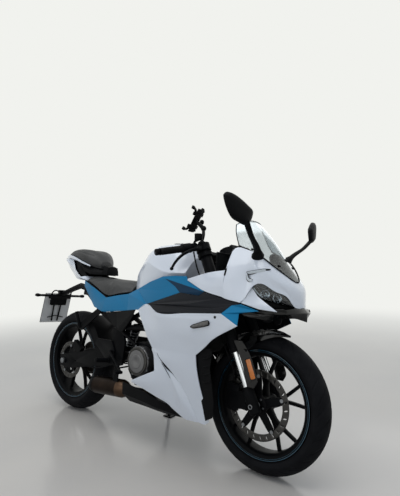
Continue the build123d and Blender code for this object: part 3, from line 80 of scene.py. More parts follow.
# ---- sizes, in mm and degrees
LEAN = radians(6.5)
REAR_CROWN = 75.0                         # radius of the rear tyre's tread across it
LIFT = REAR_CROWN * (1 - cos(LEAN))       # how far that crown lifts the leaned bike
SHIFT = (-644.5, -125.5825)               # from the bike's own frame to the middle of the row's box
RAKE = radians(25.0)
STEER_UP = np.array((-sin(RAKE), 0.0, cos(RAKE)))
FRONT_R, REAR_R = 293.0, 300.0            # tyres' outer radii
FRONT_RIM, REAR_RIM = 45, 58              # half the rims' widths
FRONT_AXLE = np.array((1360.0, 0.0, FRONT_R))
REAR_AXLE = np.array((0.0, 0.0, REAR_R))
FORK_HALF = 98.0                          # from the middle to a fork leg
PANEL = 3.2                               # wall of a body panel
DISC = 4.5                                # thickness of a brake disc
CHAIN_PITCH, CHAIN_Y = 15.875, 84
SEAM_DEPTH, SEAM_REACH = 2.6, 3.2
SWELL = 4                                 # most that a seat's filling moves its cover
MERGE = 2e-5                              # points closer than this become one, in metres
BACKDROP = "#F1F2EE"


# ---- surfaces
def row_frame(points):
    """Upright millimetres to the row frame in metres: turned about X by the lean, lifted, shifted."""
    x, y, z = np.moveaxis(np.asarray(points, float), -1, 0)
    c, s = cos(LEAN), sin(LEAN)
    return np.stack([x + SHIFT[0], y * c + z * s + SHIFT[1], z * c - y * s + LIFT], -1) / 1000


def curve(points, steps, sharp=()):
    """Points on a smooth line through the given ones, steps to each span.

    Each span is a Hermite cubic.  Its slope at a given point is the mean direction of the two spans
    that meet there, as long as the span itself, so the line never overshoots.  At a sharp point each
    span keeps its own direction.
    """
    p = np.asarray(points, float)
    span = np.diff(p, axis=0)
    length = np.linalg.norm(span, axis=-1, keepdims=True) + 1e-9
    way = span / length
    mean = np.concatenate([way[:1], way[1:] + way[:-1], way[-1:]])
    mean = mean / (np.linalg.norm(mean, axis=-1, keepdims=True) + 1e-9)
    leave, arrive = mean[:-1] * length, mean[1:] * length
    for k in sharp:
        if k > 0:
            arrive[k - 1] = span[k - 1]
        if k < len(span):
            leave[k] = span[k]
    t = np.linspace(0, 1, steps, endpoint=False).reshape((1, steps) + (1,) * (p.ndim - 1))
    a, b, m, n = (q[:, None] for q in (p[:-1], p[1:], leave, arrive))
    run = ((2 * t ** 3 - 3 * t ** 2 + 1) * a + (t ** 3 - 2 * t ** 2 + t) * m + (3 * t ** 2 - 2 * t ** 3) * b
            + (t ** 3 - t ** 2) * n)
    return np.concatenate([run.reshape((-1,) + p.shape[1:]), p[-1:]])


def skin(table, along=6, across=5, sharp=(), sharp_across=()):
    """A sheet through a table of points: smooth lines along the rows, then across each of them."""
    rows = curve(table, along, sharp)
    return np.swapaxes(curve(np.swapaxes(rows, 0, 1), across, sharp_across), 0, 1)


def weave(points, loop_u=False, loop_v=False):
    """A surface of quads over a grid of points; a looped direction joins its last row to its first."""
    rows, columns = points.shape[:2]
    u = np.arange(rows if loop_u else rows - 1)[:, None]
    v = np.arange(columns if loop_v else columns - 1)[None, :]
    u2, v2 = (u + 1) % rows, (v + 1) % columns
    quads = np.stack([u * columns + v, u2 * columns + v, u2 * columns + v2, u * columns + v2], -1)
    return points.reshape(-1, 3), quads.reshape(-1, 4)


def outward(surface, inside=None):
    """The surface with its faces turned away from a point: the sum of each face's pyramid over that
    point is its signed volume, which for a closed surface doesn't depend on the point."""
    points, quads = surface
    middle = points.mean(0)
    origin = np.array((middle[0], 0.0, middle[2])) if inside is None else np.asarray(inside, float)
    a, b, c, d = (points[quads[:, k]] - origin for k in range(4))
    volume = np.einsum("ij,ij->i", np.cross(c - a, d - b), a + b + c + d).sum()
    return (points, quads) if volume > 0 else (points, quads[:, ::-1])


def other_side(surface):
    """The surface mirrored in the centre plane, its faces reversed so that they stay outward."""
    points, quads = surface
    return points * (1, -1, 1), quads[:, ::-1]


def both(*surfaces):
    return [s for one in surfaces for s in (one, other_side(one))]


def poles(points):
    """A grid of rings with each end ring drawn in to its middle, so that weaving it closes it."""
    first, last = points[:1].mean(1, keepdims=True), points[-1:].mean(1, keepdims=True)
    count = points.shape[1]
    return np.concatenate([np.repeat(first, count, 1), points, np.repeat(last, count, 1)])


def unit(vectors):
    """Vectors, along the last axis, made 1 long."""
    return vectors / np.linalg.norm(vectors, axis=-1, keepdims=True)


def round_angles(count):
    """That many even angles round a full turn."""
    return np.linspace(0, 2 * pi, count, endpoint=False)


def basis(direction):
    """Two unit directions square to a direction, as rows."""
    d = unit(np.asarray(direction, float))
    side = unit(np.cross(d, (0, 0, 1) if abs(d[2]) < 0.9 else (1, 0, 0)))
    return np.stack([side, np.cross(d, side)])


def turned(profile, origin, axis, count=48, closed=False):
    """A turned shape: (distance along the axis, radius) pairs carried round the axis."""
    profile = np.asarray(profile, float)
    axis = unit(np.asarray(axis, float))
    across = basis(axis)
    angle = round_angles(count)
    spokes = np.cos(angle)[:, None] * across[0] + np.sin(angle)[:, None] * across[1]
    points = (np.asarray(origin, float) + profile[:, None, :1] * axis + profile[:, None, 1:] * spokes[None])
    if closed:
        return outward(weave(points, loop_u=True, loop_v=True))
    return outward(weave(poles(points), loop_v=True))


def spread(values, count):
    """One value, or several spread evenly along that many points."""
    values = np.atleast_1d(np.asarray(values, float))
    return np.interp(np.linspace(0, 1, count), np.linspace(0, 1, len(values)), values)[:, None, None]


def tube(path, radius, count=16, flat=1.0):
    """A round bar along a line of points, with its ends closed.  Its ring directions are carried
    square to the line, turned as little as possible from one point to the next."""
    path = np.asarray(path, float)
    way = unit(np.gradient(path, axis=0))
    side = np.empty_like(path)
    side[0] = basis(way[0])[0]
    for k in range(1, len(path)):
        side[k] = unit(side[k - 1] - way[k] * (side[k - 1] @ way[k]))
    up = np.cross(way, side)
    radius = spread(radius, len(path))
    angle = round_angles(count)[None, :, None]
    rings = (path[:, None] + radius * (np.cos(angle) * side[:, None] + flat * np.sin(angle) * up[:, None]))
    return outward(weave(poles(rings), loop_v=True))


def slab(outline, low, high):
    """A flat plate: an (x, z) outline in side view from y = low to y = high."""
    outline = np.asarray(outline, float)
    count = len(outline)
    caps = [np.insert(outline, 1, y, axis=1) for y in (low, high)]
    ends = np.array(tessellate_polygon([[Vector((x, z, 0)) for x, z in outline]]))
    k = np.arange(count)
    walls = np.stack([k, (k + 1) % count, (k + 1) % count + count, k + count], -1)
    first = ends[:, [0, 1, 2, 2]]
    normal = np.cross(outline[ends[:, 1]] - outline[ends[:, 0]], outline[ends[:, 2]] - outline[ends[:, 0]])
    first[normal < 0] = first[normal < 0][:, [0, 2, 1, 1]]
    area = np.cross(outline, np.roll(outline, -1, 0)).sum()
    second = first[:, [0, 2, 1, 1]] + count
    quads = np.concatenate([first, second, walls if area < 0 else walls[:, ::-1]])
    return outward((np.concatenate(caps), quads))


def box(size, centre, turn=None):
    """A plain block whose edges a bevel rounds later; turn is a 3 x 3 matrix."""
    corner = np.array([(x, y, z) for x in (-1, 1) for y in (-1, 1) for z in (-1, 1)]) / 2.0 * size
    corner = corner @ (np.eye(3) if turn is None else turn).T + centre
    quads = np.array([(0, 1, 3, 2), (4, 6, 7, 5), (0, 4, 5, 1), (2, 3, 7, 6), (0, 2, 6, 4), (1, 5, 7, 3)])
    return outward((corner, quads))


def about(axis, degrees):
    """A 3 x 3 turn about an axis."""
    return np.array(Matrix.Rotation(radians(degrees), 3, Vector(axis)))


def copies(surface, places):
    """One small surface repeated: places holds (3 x 3 turn, shift) pairs."""
    points, quads = surface
    turns = np.array([turn for turn, _ in places])
    shifts = np.array([shift for _, shift in places], float)
    moved = np.einsum("kij,nj->kni", turns, points) + shifts[:, None]
    steps = np.arange(len(places))[:, None, None] * len(points)
    return moved.reshape(-1, 3), (quads[None] + steps).reshape(-1, 4)


def bolt(at, axis, radius=6.0, height=4.0):
    """A bolt head on its washer with a hexagon socket sunk in it."""
    washer = turned([(0, radius * 1.45), (1.2, radius * 1.45), (1.2, radius)], at, axis, 20)
    head = turned([(0.6, radius), (height, radius), (height + 0.6, radius * 0.86),
            (height + 0.6, radius * 0.5), (height * 0.4, radius * 0.5)], at, axis, 12)
    return [washer, head]


def mesh_of(name, points, quads, which=0):
    """A mesh from points in metres and quads with their finish numbers.  A corner that repeats the one
    before it is left out, and a face with fewer than three corners is dropped."""
    keep = quads != np.roll(quads, 1, 1)
    real = keep.sum(1) > 2
    which = np.broadcast_to(which, len(quads))[real]
    quads, keep = quads[real], keep[real]
    totals = keep.sum(1)
    mesh = bpy.data.meshes.new(name)
    mesh.vertices.add(len(points))
    mesh.vertices.foreach_set("co", points.astype(np.float32).ravel())
    mesh.loops.add(int(totals.sum()))
    mesh.loops.foreach_set("vertex_index", quads[keep].astype(np.int32))
    mesh.polygons.add(len(quads))
    mesh.polygons.foreach_set("loop_start", (np.cumsum(totals) - totals).astype(np.int32))
    mesh.polygons.foreach_set("material_index", which.astype(np.int32))
    mesh.update(calc_edges=True)
    return mesh


def merged(mesh, distance, recalculate=False):
    """Merges a mesh's doubled points, and turns its faces to agree if asked to."""
    shape = bmesh.new()
    shape.from_mesh(mesh)
    bmesh.ops.remove_doubles(shape, verts=shape.verts, dist=distance)
    if recalculate:
        bmesh.ops.recalc_face_normals(shape, faces=shape.faces)
    shape.to_mesh(mesh)
    shape.free()


def placed(name, data):
    """A new object in the scene."""
    made = bpy.data.objects.new(name, data)
    bpy.context.scene.collection.objects.link(made)
    return made


def piece(name, surfaces, *look, **more):
    """An object from surfaces, or from (surface, finish number) pairs, in the row frame; look and more
    go on to dressed()."""
    parts = [s if isinstance(s[1], int) else (s, 0) for s in surfaces]
    starts = np.cumsum([0] + [len(s[0]) for s, _ in parts])
    points = row_frame(np.concatenate([s[0] for s, _ in parts]))
    quads = np.concatenate([s[1] + start for (s, _), start in zip(parts, starts)])
    which = np.concatenate([np.full(len(s[1]), number) for s, number in parts])
    return dressed(name, mesh_of(name, points, quads, which), *look, **more)


def dressed(name, mesh, finish, node="", slot="", body="chassis", wall=0.0, soften=0.0, crease=38.0,
        levels=0):
    """Merges a mesh's doubled points, shades it smooth up to the crease angle, adds a wall inwards and
    softened edges, and puts it on its body in the place of a CAD node."""
    merged(mesh, MERGE)
    mesh.validate()
    mesh.shade_smooth()
    mesh.set_sharp_from_angle(angle=radians(crease))
    made = placed(name, mesh)
    finishes = [finish] if isinstance(finish, str) else finish
    slot = slot or RECIPES[finishes[0]][0]
    for one in finishes:
        mesh.materials.append(finish_of(one))
    if wall:
        solid = made.modifiers.new("wall", "SOLIDIFY")
        solid.thickness, solid.offset, solid.use_even_offset = wall / 1000, -1, False
        if finishes[0].endswith("lacquer"):      # painted panels are bare black inside
            mesh.materials.append(finish_of(ABS))
            solid.material_offset = len(mesh.materials) - 1
    if soften:
        edge = made.modifiers.new("softened edges", "BEVEL")
        edge.width, edge.segments, edge.limit_method = soften / 1000, 2, "ANGLE"
        edge.angle_limit = radians(crease - 4)
        edge.use_clamp_overlap = True
    if levels:
        finer = made.modifiers.new("finer", "SUBSURF")
        finer.levels = finer.render_levels = levels
    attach(made, body)
    if node:
        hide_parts(node)
    return made


def body_of(node):
    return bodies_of(frame["nodes"][node])[0]


def softened(node, finish, slot, soften=1.2, crease=30.0):
    """A CAD node's own shape, merged into one skin and given softened, smoothly shaded edges."""
    shape = frame["nodes"][node].data.copy()
    shape.materials.clear()
    return dressed(node + "_skin", shape, finish, node, slot, body_of(node), soften=soften, crease=crease)


def steer_point(along, side=0.0):
    """A point of the fork: along the leg from the axle, and sideways."""
    return FRONT_AXLE + STEER_UP * along + np.array((0, side, 0))


# ---- finishes
def linear(code):
    """An sRGB hex colour as linear light: each channel c is ((c + 0.055) / 1.055) to the power 2.4.
    A colour that is linear already is handed back."""
    if not isinstance(code, str):
        return tuple(code)
    channels = [int(code[k:k + 2], 16) / 255 for k in (1, 3, 5)]
    return tuple(c / 12.92 if c <= 0.04045 else ((c + 0.055) / 1.055) ** 2.4 for c in channels) + (1.0,)


def add(material, kind, inputs=None, **settings):
    """One node with its settings, and its inputs given as values or as other nodes' outputs."""
    node = material.node_tree.nodes.new("ShaderNode" + kind)
    for key, value in settings.items():
        setattr(node, key, value)
    for key, value in (inputs or {}).items():
        if isinstance(value, bpy.types.NodeSocket):
            material.node_tree.links.new(value, node.inputs[key])
        else:
            node.inputs[key].default_value = value
    return node


def per_metre(mm):
    """A noise scale whose features are about that many millimetres across."""
    return 1000.0 / mm


def base(name):
    """An empty material, its surface shader and its object coordinates."""
    material = bpy.data.materials.new(name)
    material.use_nodes = True
    shader = material.node_tree.nodes["Principled BSDF"]
    place = add(material, "TexCoord").outputs["Object"]
    return material, shader, place


def link(source, target):
    target.id_data.links.new(source, target)


def plain(shader, values):
    """Constants straight on the shader's own sockets."""
    for key, value in values.items():
        shader.inputs[key].default_value = value


def bumped(material, shader, height, strength, distance):
    """Relief from a height, its distance in mm."""
    relief = add(material, "Bump", {"Height": height, "Strength": strength, "Distance": distance / 1000})
    link(relief.outputs["Normal"], shader.inputs["Normal"])


def mottled(name, light, dark, mm, rough, rough_range, bump_mm, bump, depth, values):
    """The detail all these finishes share: two near colours mixed by a broad noise, roughness that
    wanders with it, a fine noise for the surface's own grain, and constants on the shader."""
    material, shader, place = base(name)
    broad = add(material, "TexNoise", {"Vector": place, "Scale": per_metre(mm), "Detail": 4.0})
    colour = add(material, "Mix", {0: broad.outputs["Fac"], 6: linear(light), 7: linear(dark)},
            data_type="RGBA").outputs[2]
    wander = add(material, "MapRange", {"Value": broad.outputs["Fac"], "From Min": 0.3, "From Max": 0.7,
            "To Min": rough - rough_range, "To Max": rough + rough_range})
    grain = add(material, "TexNoise", {"Vector": place, "Scale": per_metre(bump_mm), "Detail": 3.0})
    link(colour, shader.inputs["Base Color"])
    link(wander.outputs["Result"], shader.inputs["Roughness"])
    bumped(material, shader, grain.outputs["Fac"], bump, depth)
    plain(shader, values)
    return material, shader, place, colour


def lacquer(name, light, dark, rough=0.32, coat=1.0):
    """Two-pack body paint under clear lacquer: a sharp reflection over a soft one, with the faint
    ripple (about 6 mm across) that sprayed lacquer keeps."""
    mottled(name, light, dark, 260, rough, 0.04, 6.0, 0.08, 0.05, {"Coat Weight": coat,
            "Coat Roughness": 0.045, "Coat IOR": 1.5, "IOR": 1.5, "Specular IOR Level": 0.5 * coat})


def flake(name, light, dark):
    """Metallic basecoat: aluminium flakes under blue lacquer, 0.3 mm in life and drawn at 1.6 mm so
    that they still show, make the paint glitter a little and darken as it turns away."""
    material, shader, place, colour = mottled(name, light, dark, 300, 0.34, 0.05, 6.0, 0.06, 0.05,
            {"Metallic": 0.3, "Coat Weight": 0.12, "Coat Roughness": 0.06, "IOR": 1.5,
            "Specular IOR Level": 0.1})
    glitter = add(material, "TexVoronoi", {"Vector": place, "Scale": per_metre(1.6)})
    edge = add(material, "MapRange", {"Value": glitter.outputs["Distance"], "From Max": 0.6, "To Min": 0.92,
            "To Max": 1.06})
    bright = add(material, "VectorMath", {0: colour, 1: edge.outputs["Result"]}, operation="MULTIPLY")
    link(bright.outputs["Vector"], shader.inputs["Base Color"])


def moulded(name, light, dark, rough=0.5, bump=0.35):
    """Injection-moulded ABS with a spark-eroded grain: dull, with a broad soft highlight."""
    mottled(name, light, dark, 90, rough, 0.07, 1.4, bump, 0.12, {"IOR": 1.53, "Specular IOR Level": 0.07})


def woven_print(name, light, dark):
    """Film-finished ABS with a fine printed weave: a checker of two near greys turned 45 degrees, 3.4 mm
    to a square so that it still shows, under a satin film."""
    material, shader, place, _ = mottled(name, light, dark, 120, 0.38, 0.06, 2.0, 0.15, 0.06,
            {"IOR": 1.5, "Coat Weight": 0.1, "Coat Roughness": 0.2, "Specular IOR Level": 0.1})
    turned_place = add(material, "Mapping", {"Vector": place, "Rotation": (0.0, radians(45), 0.0)})
    check = add(material, "TexChecker", {"Vector": turned_place.outputs["Vector"], "Color1": linear(light),
            "Color2": linear(dark), "Scale": per_metre(3.4)})
    link(check.outputs["Color"], shader.inputs["Base Color"])


def coated(name, light, dark, rough=0.42, metallic=0.0):
    """Powder-coated or painted cast alloy: satin, with the slight orange peel of baked powder."""
    mottled(name, light, dark, 70, rough, 0.07, 2.2, 0.3, 0.08, {"Metallic": metallic, "IOR": 1.5,
            "Specular IOR Level": 0.05})


def bare_metal(name, light, dark, rough=0.28):
    """Bare or plated metal: grinding or drawing lines stretched along one direction, and a reflection
    that is soft across them."""
    material, shader, place, _ = mottled(name, light, dark, 60, rough, 0.06, 3.0, 0.05, 0.03,
            {"Metallic": 1.0})
    lines = add(material, "Mapping", {"Vector": place, "Scale": (1.0, 1.0, 14.0)})
    fine = add(material, "TexNoise", {"Vector": lines.outputs["Vector"], "Scale": per_metre(9.0),
            "Detail": 5.0})
    bumped(material, shader, fine.outputs["Fac"], 0.12, 0.05)


def rubber(name, light, dark, rough=0.72, grain=2.5):
    """Cured rubber: nearly black, dull, with a dusty bloom in broad patches."""
    mottled(name, light, dark, 45, rough, 0.08, grain, 0.4, 0.1, {"IOR": 1.52, "Specular IOR Level": 0.1})


def seat_vinyl(name, light, dark):
    """Embossed seat vinyl: pebbled cells about 3 mm across with soft valleys, and a faint sheen."""
    material, shader, place, _ = mottled(name, light, dark, 80, 0.52, 0.06, 1.2, 0.1, 0.05,
            {"Specular IOR Level": 0.6, "IOR": 1.5})
    cells = add(material, "TexVoronoi", {"Vector": place, "Scale": per_metre(3.0)},
            feature="DISTANCE_TO_EDGE")
    height = add(material, "MapRange", {"Value": cells.outputs["Distance"], "From Max": 0.25})
    bumped(material, shader, height.outputs["Result"], 0.35, 0.2)


def clear_sheet(name, tint, rough=0.03):
    """Thermoformed clear polycarbonate: see-through, with a faint haze of wiping marks."""
    material, shader, place = base(name)
    haze = add(material, "TexNoise", {"Vector": place, "Scale": per_metre(70), "Detail": 4.0})
    wander = add(material, "MapRange", {"Value": haze.outputs["Fac"], "To Min": rough,
            "To Max": rough + 0.05})
    tone = add(material, "Mix", {0: haze.outputs["Fac"], 6: linear(tint), 7: linear("#D9E0E4")},
            data_type="RGBA")
    link(wander.outputs["Result"], shader.inputs["Roughness"])
    link(tone.outputs[2], shader.inputs["Base Color"])
    plain(shader, {"Transmission Weight": 1.0, "IOR": 1.45, "Specular IOR Level": 0.05})


def coloured_lens(name, light, dark, transmission=0.35):
    """Moulded lens with prisms behind it: a regular pattern of small pillows, 2.6 mm apart, that
    break up the reflection."""
    material, shader, place, _ = mottled(name, light, dark, 20, 0.18, 0.05, 2.0, 0.05, 0.03,
            {"Transmission Weight": transmission, "Coat Weight": 0.8, "IOR": 1.5})
    cells = add(material, "TexVoronoi", {"Vector": place, "Scale": per_metre(2.6), "Randomness": 0.0})
    bumped(material, shader, cells.outputs["Distance"], 0.5, 0.4)


def finned(name, light, dark):
    """A cooler's core: thin folded fins 3 mm apart, with painted shade in the dark gaps between them."""
    material, shader, place, _ = mottled(name, light, dark, 60, 0.5, 0.08, 2.0, 0.2, 0.05,
            {"Metallic": 0.7})
    fins = add(material, "TexWave", {"Vector": place, "Scale": per_metre(3.0) * pi / 10, "Distortion": 0.4,
            "Detail": 1.0}, wave_type="BANDS", bands_direction="Z")
    # the wave's dark bands are painted shade in the gaps between the fins
    tone = add(material, "Mix", {0: fins.outputs["Fac"], 6: linear(dark), 7: linear(light)},
            data_type="RGBA")
    link(tone.outputs[2], shader.inputs["Base Color"])
    bumped(material, shader, fins.outputs["Fac"], 0.8, 1.0)


def polished_floor(name, colour):
    """Pale polished screed: broad faint clouding and a soft blurred reflection.  From 2.2 to 6 m away
    it goes over into the background's own colour, as a studio's cove does."""
    material, shader, place, _ = mottled(name, colour, "#CFCBC5", 700, 0.17, 0.04, 30, 0.03, 0.05,
            {"IOR": 1.45, "Specular IOR Level": 0.35})
    reach = add(material, "VectorMath", {0: place}, operation="LENGTH")
    share = add(material, "MapRange", {"Value": reach.outputs["Value"], "From Min": 2.2, "From Max": 6.0},
            interpolation_type="SMOOTHSTEP")
    cove = add(material, "Emission", {"Color": linear(BACKDROP)})
    blend = add(material, "MixShader", {0: share.outputs["Result"], 1: shader.outputs["BSDF"],
            2: cove.outputs["Emission"]})
    link(blend.outputs["Shader"], material.node_tree.nodes["Material Output"].inputs["Surface"])


# ---- what a user would change
def colour(name, about_it, code):
    return FloatVectorProperty(name=name, description=about_it, subtype="COLOR", size=4, min=0, max=1,
            default=linear(code))


def heading(name, about_it, degrees):
    return FloatProperty(name=name, description=about_it, subtype="ANGLE", default=radians(degrees))


class BikeLooks(bpy.types.PropertyGroup):
    """Colours and sizes of the finished bike, and where the camera stands."""
    white: colour("White", "Colour of the white body panels", "#DDE4EE")
    blue: colour("Blue", "Colour of the metallic blue panels", "#1176A6")
    floor: colour("Floor", "Colour of the plain floor", "#E3DCD1")
    panel_wall: FloatProperty(name="Panel wall", description="Wall of the moulded body panels, mm",
            default=PANEL, min=1.5, max=4.0)
    groove: FloatProperty(name="Tread depth", description="Depth of the tyres' grooves, mm", default=3.0,
            min=0.5, max=5.0)
    tape: colour("Rim tape", "Colour of the stripes on the rims", "#1A5870")
    camera_place: FloatVectorProperty(name="Camera", description="Where the camera stands",
            subtype="TRANSLATION", unit="LENGTH", size=3, default=(1.6985, -1.6926, 0.9305))
    camera_yaw: heading("Camera yaw", "Camera's heading from +X", 129.8)
    camera_pitch: heading("Camera pitch", "Camera's tilt above level", 1.15)
    camera_roll: heading("Camera roll", "Camera's turn about its own view", -1.34)
    lens: FloatProperty(name="Focal length", description="Lens over a 36 mm sensor's long side",
            unit="CAMERA", default=30.88, min=10)


def looks():
    return bpy.context.scene.bike_looks


def shade(colour, share):
    """A colour darkened to a share of its light."""
    return tuple(c * share for c in colour[:3]) + (1.0,)


RECIPES = {             # for each finish its usual material slot, and what makes it
    # White two-pack over ABS: bright and slightly cool, a sharp highlight over a soft one.
    "white_two_pack_lacquer": ("white_paint",
        lambda n: lacquer(n, looks().white, shade(looks().white, 0.95))),
    # Blue metallic basecoat under lacquer: deep where it turns away, light at its highlights.
    "blue_metallic_lacquer": ("blue_paint", lambda n: flake(n, looks().blue, shade(looks().blue, 0.78))),
    # The same blue, darkened: painted shade on the lower facet under the light band.
    "deep_blue_metallic_lacquer": ("", lambda n: flake(n, "#093654", "#07273F")),
    # Dark grey printed weave under satin film: reads as carbon from a metre away.
    "grey_printed_weave_film": ("textured_grey", lambda n: woven_print(n, "#181B23", "#0D0F14")),
    # Grained black ABS, unpainted: dull, near black, a broad soft highlight.
    "black_grained_abs": ("black_plastic", lambda n: moulded(n, "#0B0C0F", "#070809")),
    # Polished black ABS: piano-black, mirrors the room.
    "black_polished_abs": ("black_gloss",
        lambda n: lacquer(n, "#060708", "#040405", rough=0.25, coat=0.35)),
    # Black polyester powder on steel tube: satin with slight orange peel.
    "black_powder_coated_steel": ("black_plastic", lambda n: coated(n, "#0B0C0F", "#070809")),
    # Black baked enamel on cast alloy: the blast-cleaned casting's grain shows through.
    "black_enamelled_cast_alloy": ("alloy_black", lambda n: coated(n, "#0D0E11", "#08090A", rough=0.45)),
    # Grey engine casting: sand-cast alloy, dark and slightly rough.
    "grey_cast_alloy": ("engine_cast", lambda n: coated(n, "#15171A", "#0D0E10", rough=0.5)),
    # Die-cast alloy cover, bead-blasted: mid grey, soft sheen.
    "blasted_cover_alloy": ("cover_alloy",
        lambda n: coated(n, "#737374", "#616163", rough=0.42, metallic=0.8)),
    # Hard-chromed and ground tube: a nearly white mirror, a little blurred.
    "hard_chromed_tube": ("chromed_steel", lambda n: bare_metal(n, "#E6E8EA", "#C9CDD1", rough=0.16)),
    # Ground stainless disc steel: fine scratches that scatter the light, mid grey.
    "ground_disc_steel": ("disc_steel", lambda n: bare_metal(n, "#4B4A49", "#343433", rough=0.36)),
    # Zinc-plated bolts and axle: dull silver.
    "zinc_plated_steel": ("steel", lambda n: bare_metal(n, "#8C8F93", "#65686C", rough=0.35)),
    # Oiled roller chain and sprocket: dark steel with worn bright edges.
    "oiled_chain_steel": ("steel", lambda n: bare_metal(n, "#34312E", "#1E1C1B", rough=0.42)),
    # Stainless pipe browned by heat near the engine.
    "heat_browned_stainless": ("exhaust_steel", lambda n: bare_metal(n, "#2E2520", "#181412", rough=0.4)),
    "brushed_titanium": ("exhaust_steel", lambda n: bare_metal(n, "#5A4739", "#3E322A", rough=0.34)),
    # Tyre rubber: almost black with a brown-grey dusty bloom.
    "cured_tyre_rubber": ("tyre_rubber", lambda n: rubber(n, "#121317", "#0B0C0F")),
    # Moulded grip rubber: softer and blacker, fine matt.
    "moulded_grip_rubber": ("grip_rubber", lambda n: rubber(n, "#0D0D0F", "#080809", rough=0.6, grain=1.5)),
    # Black embossed vinyl over foam: pebbled, soft sheen.
    "embossed_black_vinyl": ("seat_cover", lambda n: seat_vinyl(n, "#1B1D20", "#121417")),
    "clear_polycarbonate": ("screen_clear", lambda n: clear_sheet(n, "#9DA8AE")),
    "clear_lamp_polycarbonate": ("lamp_lens", lambda n: clear_sheet(n, "#E4EBF0", rough=0.02)),
    # Vacuum-metallised reflector and projector rings: bright, a little blurred.
    "metallised_reflector": ("lamp_lens", lambda n: bare_metal(n, "#D9DEE2", "#AEB4BA", rough=0.12)),
    # White diffusing strip in front of the running light's diodes, unlit: milky.
    "milky_light_strip": ("lamp_lens", lambda n: moulded(n, "#E8EEF2", "#CFD8DE", rough=0.3, bump=0.1)),
    "amber_prism_lens": ("lamp_lens", lambda n: coloured_lens(n, "#EE8408", "#CC6A06", transmission=0.05)),
    # Smoked lens of the turn lamps: grey with an amber cast inside.
    "smoked_prism_lens": ("lamp_lens", lambda n: coloured_lens(n, "#5E6266", "#4A4036")),
    "red_prism_lens": ("lamp_red", lambda n: coloured_lens(n, "#8E1218", "#5E0A10")),
    # Plate: painted aluminium sheet, blank.
    "white_painted_plate": ("plate_white", lambda n: lacquer(n, "#DADCDD", "#CFD1D2", rough=0.4)),
    "silvered_glass": ("black_gloss", lambda n: bare_metal(n, "#E3E7EA", "#D3D8DC", rough=0.03)),
    # Cooler core: dark fins, the darker colour also painted shade in the gaps between them.
    "black_cooler_fins": ("", lambda n: finned(n, "#202224", "#08090A")),
    # Printed rim tape: coloured vinyl, slightly glossy.
    "rim_tape_vinyl": ("blue_paint",
        lambda n: lacquer(n, looks().tape, shade(looks().tape, 0.85), rough=0.35)),
    "pale_polished_screed": ("", lambda n: polished_floor(n, looks().floor)),
}


def finish_of(name):
    """The material of that name, made the first time it is asked for."""
    if name not in bpy.data.materials:
        RECIPES[name][1](name)
    return bpy.data.materials[name]


ABS, ENAMEL, WHITE = "black_grained_abs", "black_enamelled_cast_alloy", "white_two_pack_lacquer"
NODE_FINISH = (          # CAD nodes that keep their own shape, in softened form
    ("black_powder_coated_steel", "frame rear_subframe swingarm side_stand"), ("grey_cast_alloy", "engine"),
    ("black_cooler_fins", "radiator"), ("heat_browned_stainless", "exhaust_header"),
    (ENAMEL, "steering_yokes handlebars"), ("zinc_plated_steel", "front_axle rear_axle"),
    (ENAMEL, "rear_caliper front_caliper footrests passenger_pegs"),
    (ABS, "seat_base nose_frame seat_covers"), ("moulded_grip_rubber", "brake_hose"),
    ("oiled_chain_steel", "rear_sprocket"), (ENAMEL, "fork_uppers"),
    (ABS, "hugger"))


# ---- stage, camera, light
def make_stage():
    """A plain pale floor that turns into the background far away, a camera and three soft lamps."""
    scene = bpy.context.scene
    scene.view_settings.view_transform = "Standard"
    values = looks()
    yaw, pitch, roll = values.camera_yaw, values.camera_pitch, values.camera_roll
    ahead = np.array((cos(pitch) * cos(yaw), cos(pitch) * sin(yaw), sin(pitch)))
    right = np.array((sin(yaw), -cos(yaw), 0.0))
    up = np.cross(right, ahead)
    right, up = (cos(roll) * right + sin(roll) * up, cos(roll) * up - sin(roll) * right)
    data = bpy.data.cameras.new("showroom_camera")
    data.lens, data.sensor_width, data.sensor_fit = values.lens, 36.0, "AUTO"
    data.clip_end = 200.0
    camera = placed("showroom_camera", data)
    turn = Matrix([[right[k], up[k], -ahead[k], values.camera_place[k]] for k in range(3)] + [[0, 0, 0, 1]])
    camera.matrix_world = turn
    scene.camera = camera

    radius = np.concatenate([np.linspace(0.02, 4, 12), np.geomspace(5, 90, 14)])
    angle = round_angles(64)
    ring = np.stack([radius[:, None] * np.cos(angle), radius[:, None] * np.sin(angle),
            np.zeros((len(radius), 64))], -1)
    points, quads = weave(poles(ring)[:-1], loop_v=True)
    mesh = mesh_of("floor", points, quads)
    merged(mesh, 1e-4, recalculate=True)
    floor = placed("floor", mesh)
    mesh.materials.append(finish_of("pale_polished_screed"))

    world = bpy.data.worlds.new("studio")
    scene.world = world
    world.use_nodes = True
    soft = world.node_tree.nodes["Background"]
    plain(soft, {"Color": linear("#D3E0F2"), "Strength": 0.4})
    seen = add(world, "Background", {"Color": linear(BACKDROP)})
    rays = add(world, "LightPath")
    shows = rays.outputs["Is Camera Ray"]
    for kind in ("Is Glossy Ray", "Is Transmission Ray"):
        shows = add(world, "Math", {0: shows, 1: rays.outputs[kind]}, operation="MAXIMUM").outputs[0]
    mix = add(world, "MixShader", {0: shows, 1: soft.outputs[0], 2: seen.outputs[0]})
    link(mix.outputs[0], world.node_tree.nodes["World Output"].inputs["Surface"])

    for name, place, size, watts in (("ceiling_panel", (0.4, -0.6, 3.4), (3.6, 2.4), 48.0),
            ("right_panel", (0.6, -3.6, 2.0), (3.0, 1.8), 10.0), ("left_panel", (-0.8, 3.4, 2.2),
            (3.0, 2.0), 16.0)):
        lamp = bpy.data.lights.new(name, "AREA")
        lamp.shape, lamp.size, lamp.size_y, lamp.energy = "RECTANGLE", size[0], size[1], watts
        holder = placed(name, lamp)
        look = Vector((0, 0, 0.45)) - Vector(place)
        holder.matrix_world = Matrix.Translation(place) @ look.to_track_quat("-Z", "Y").to_matrix().to_4x4()


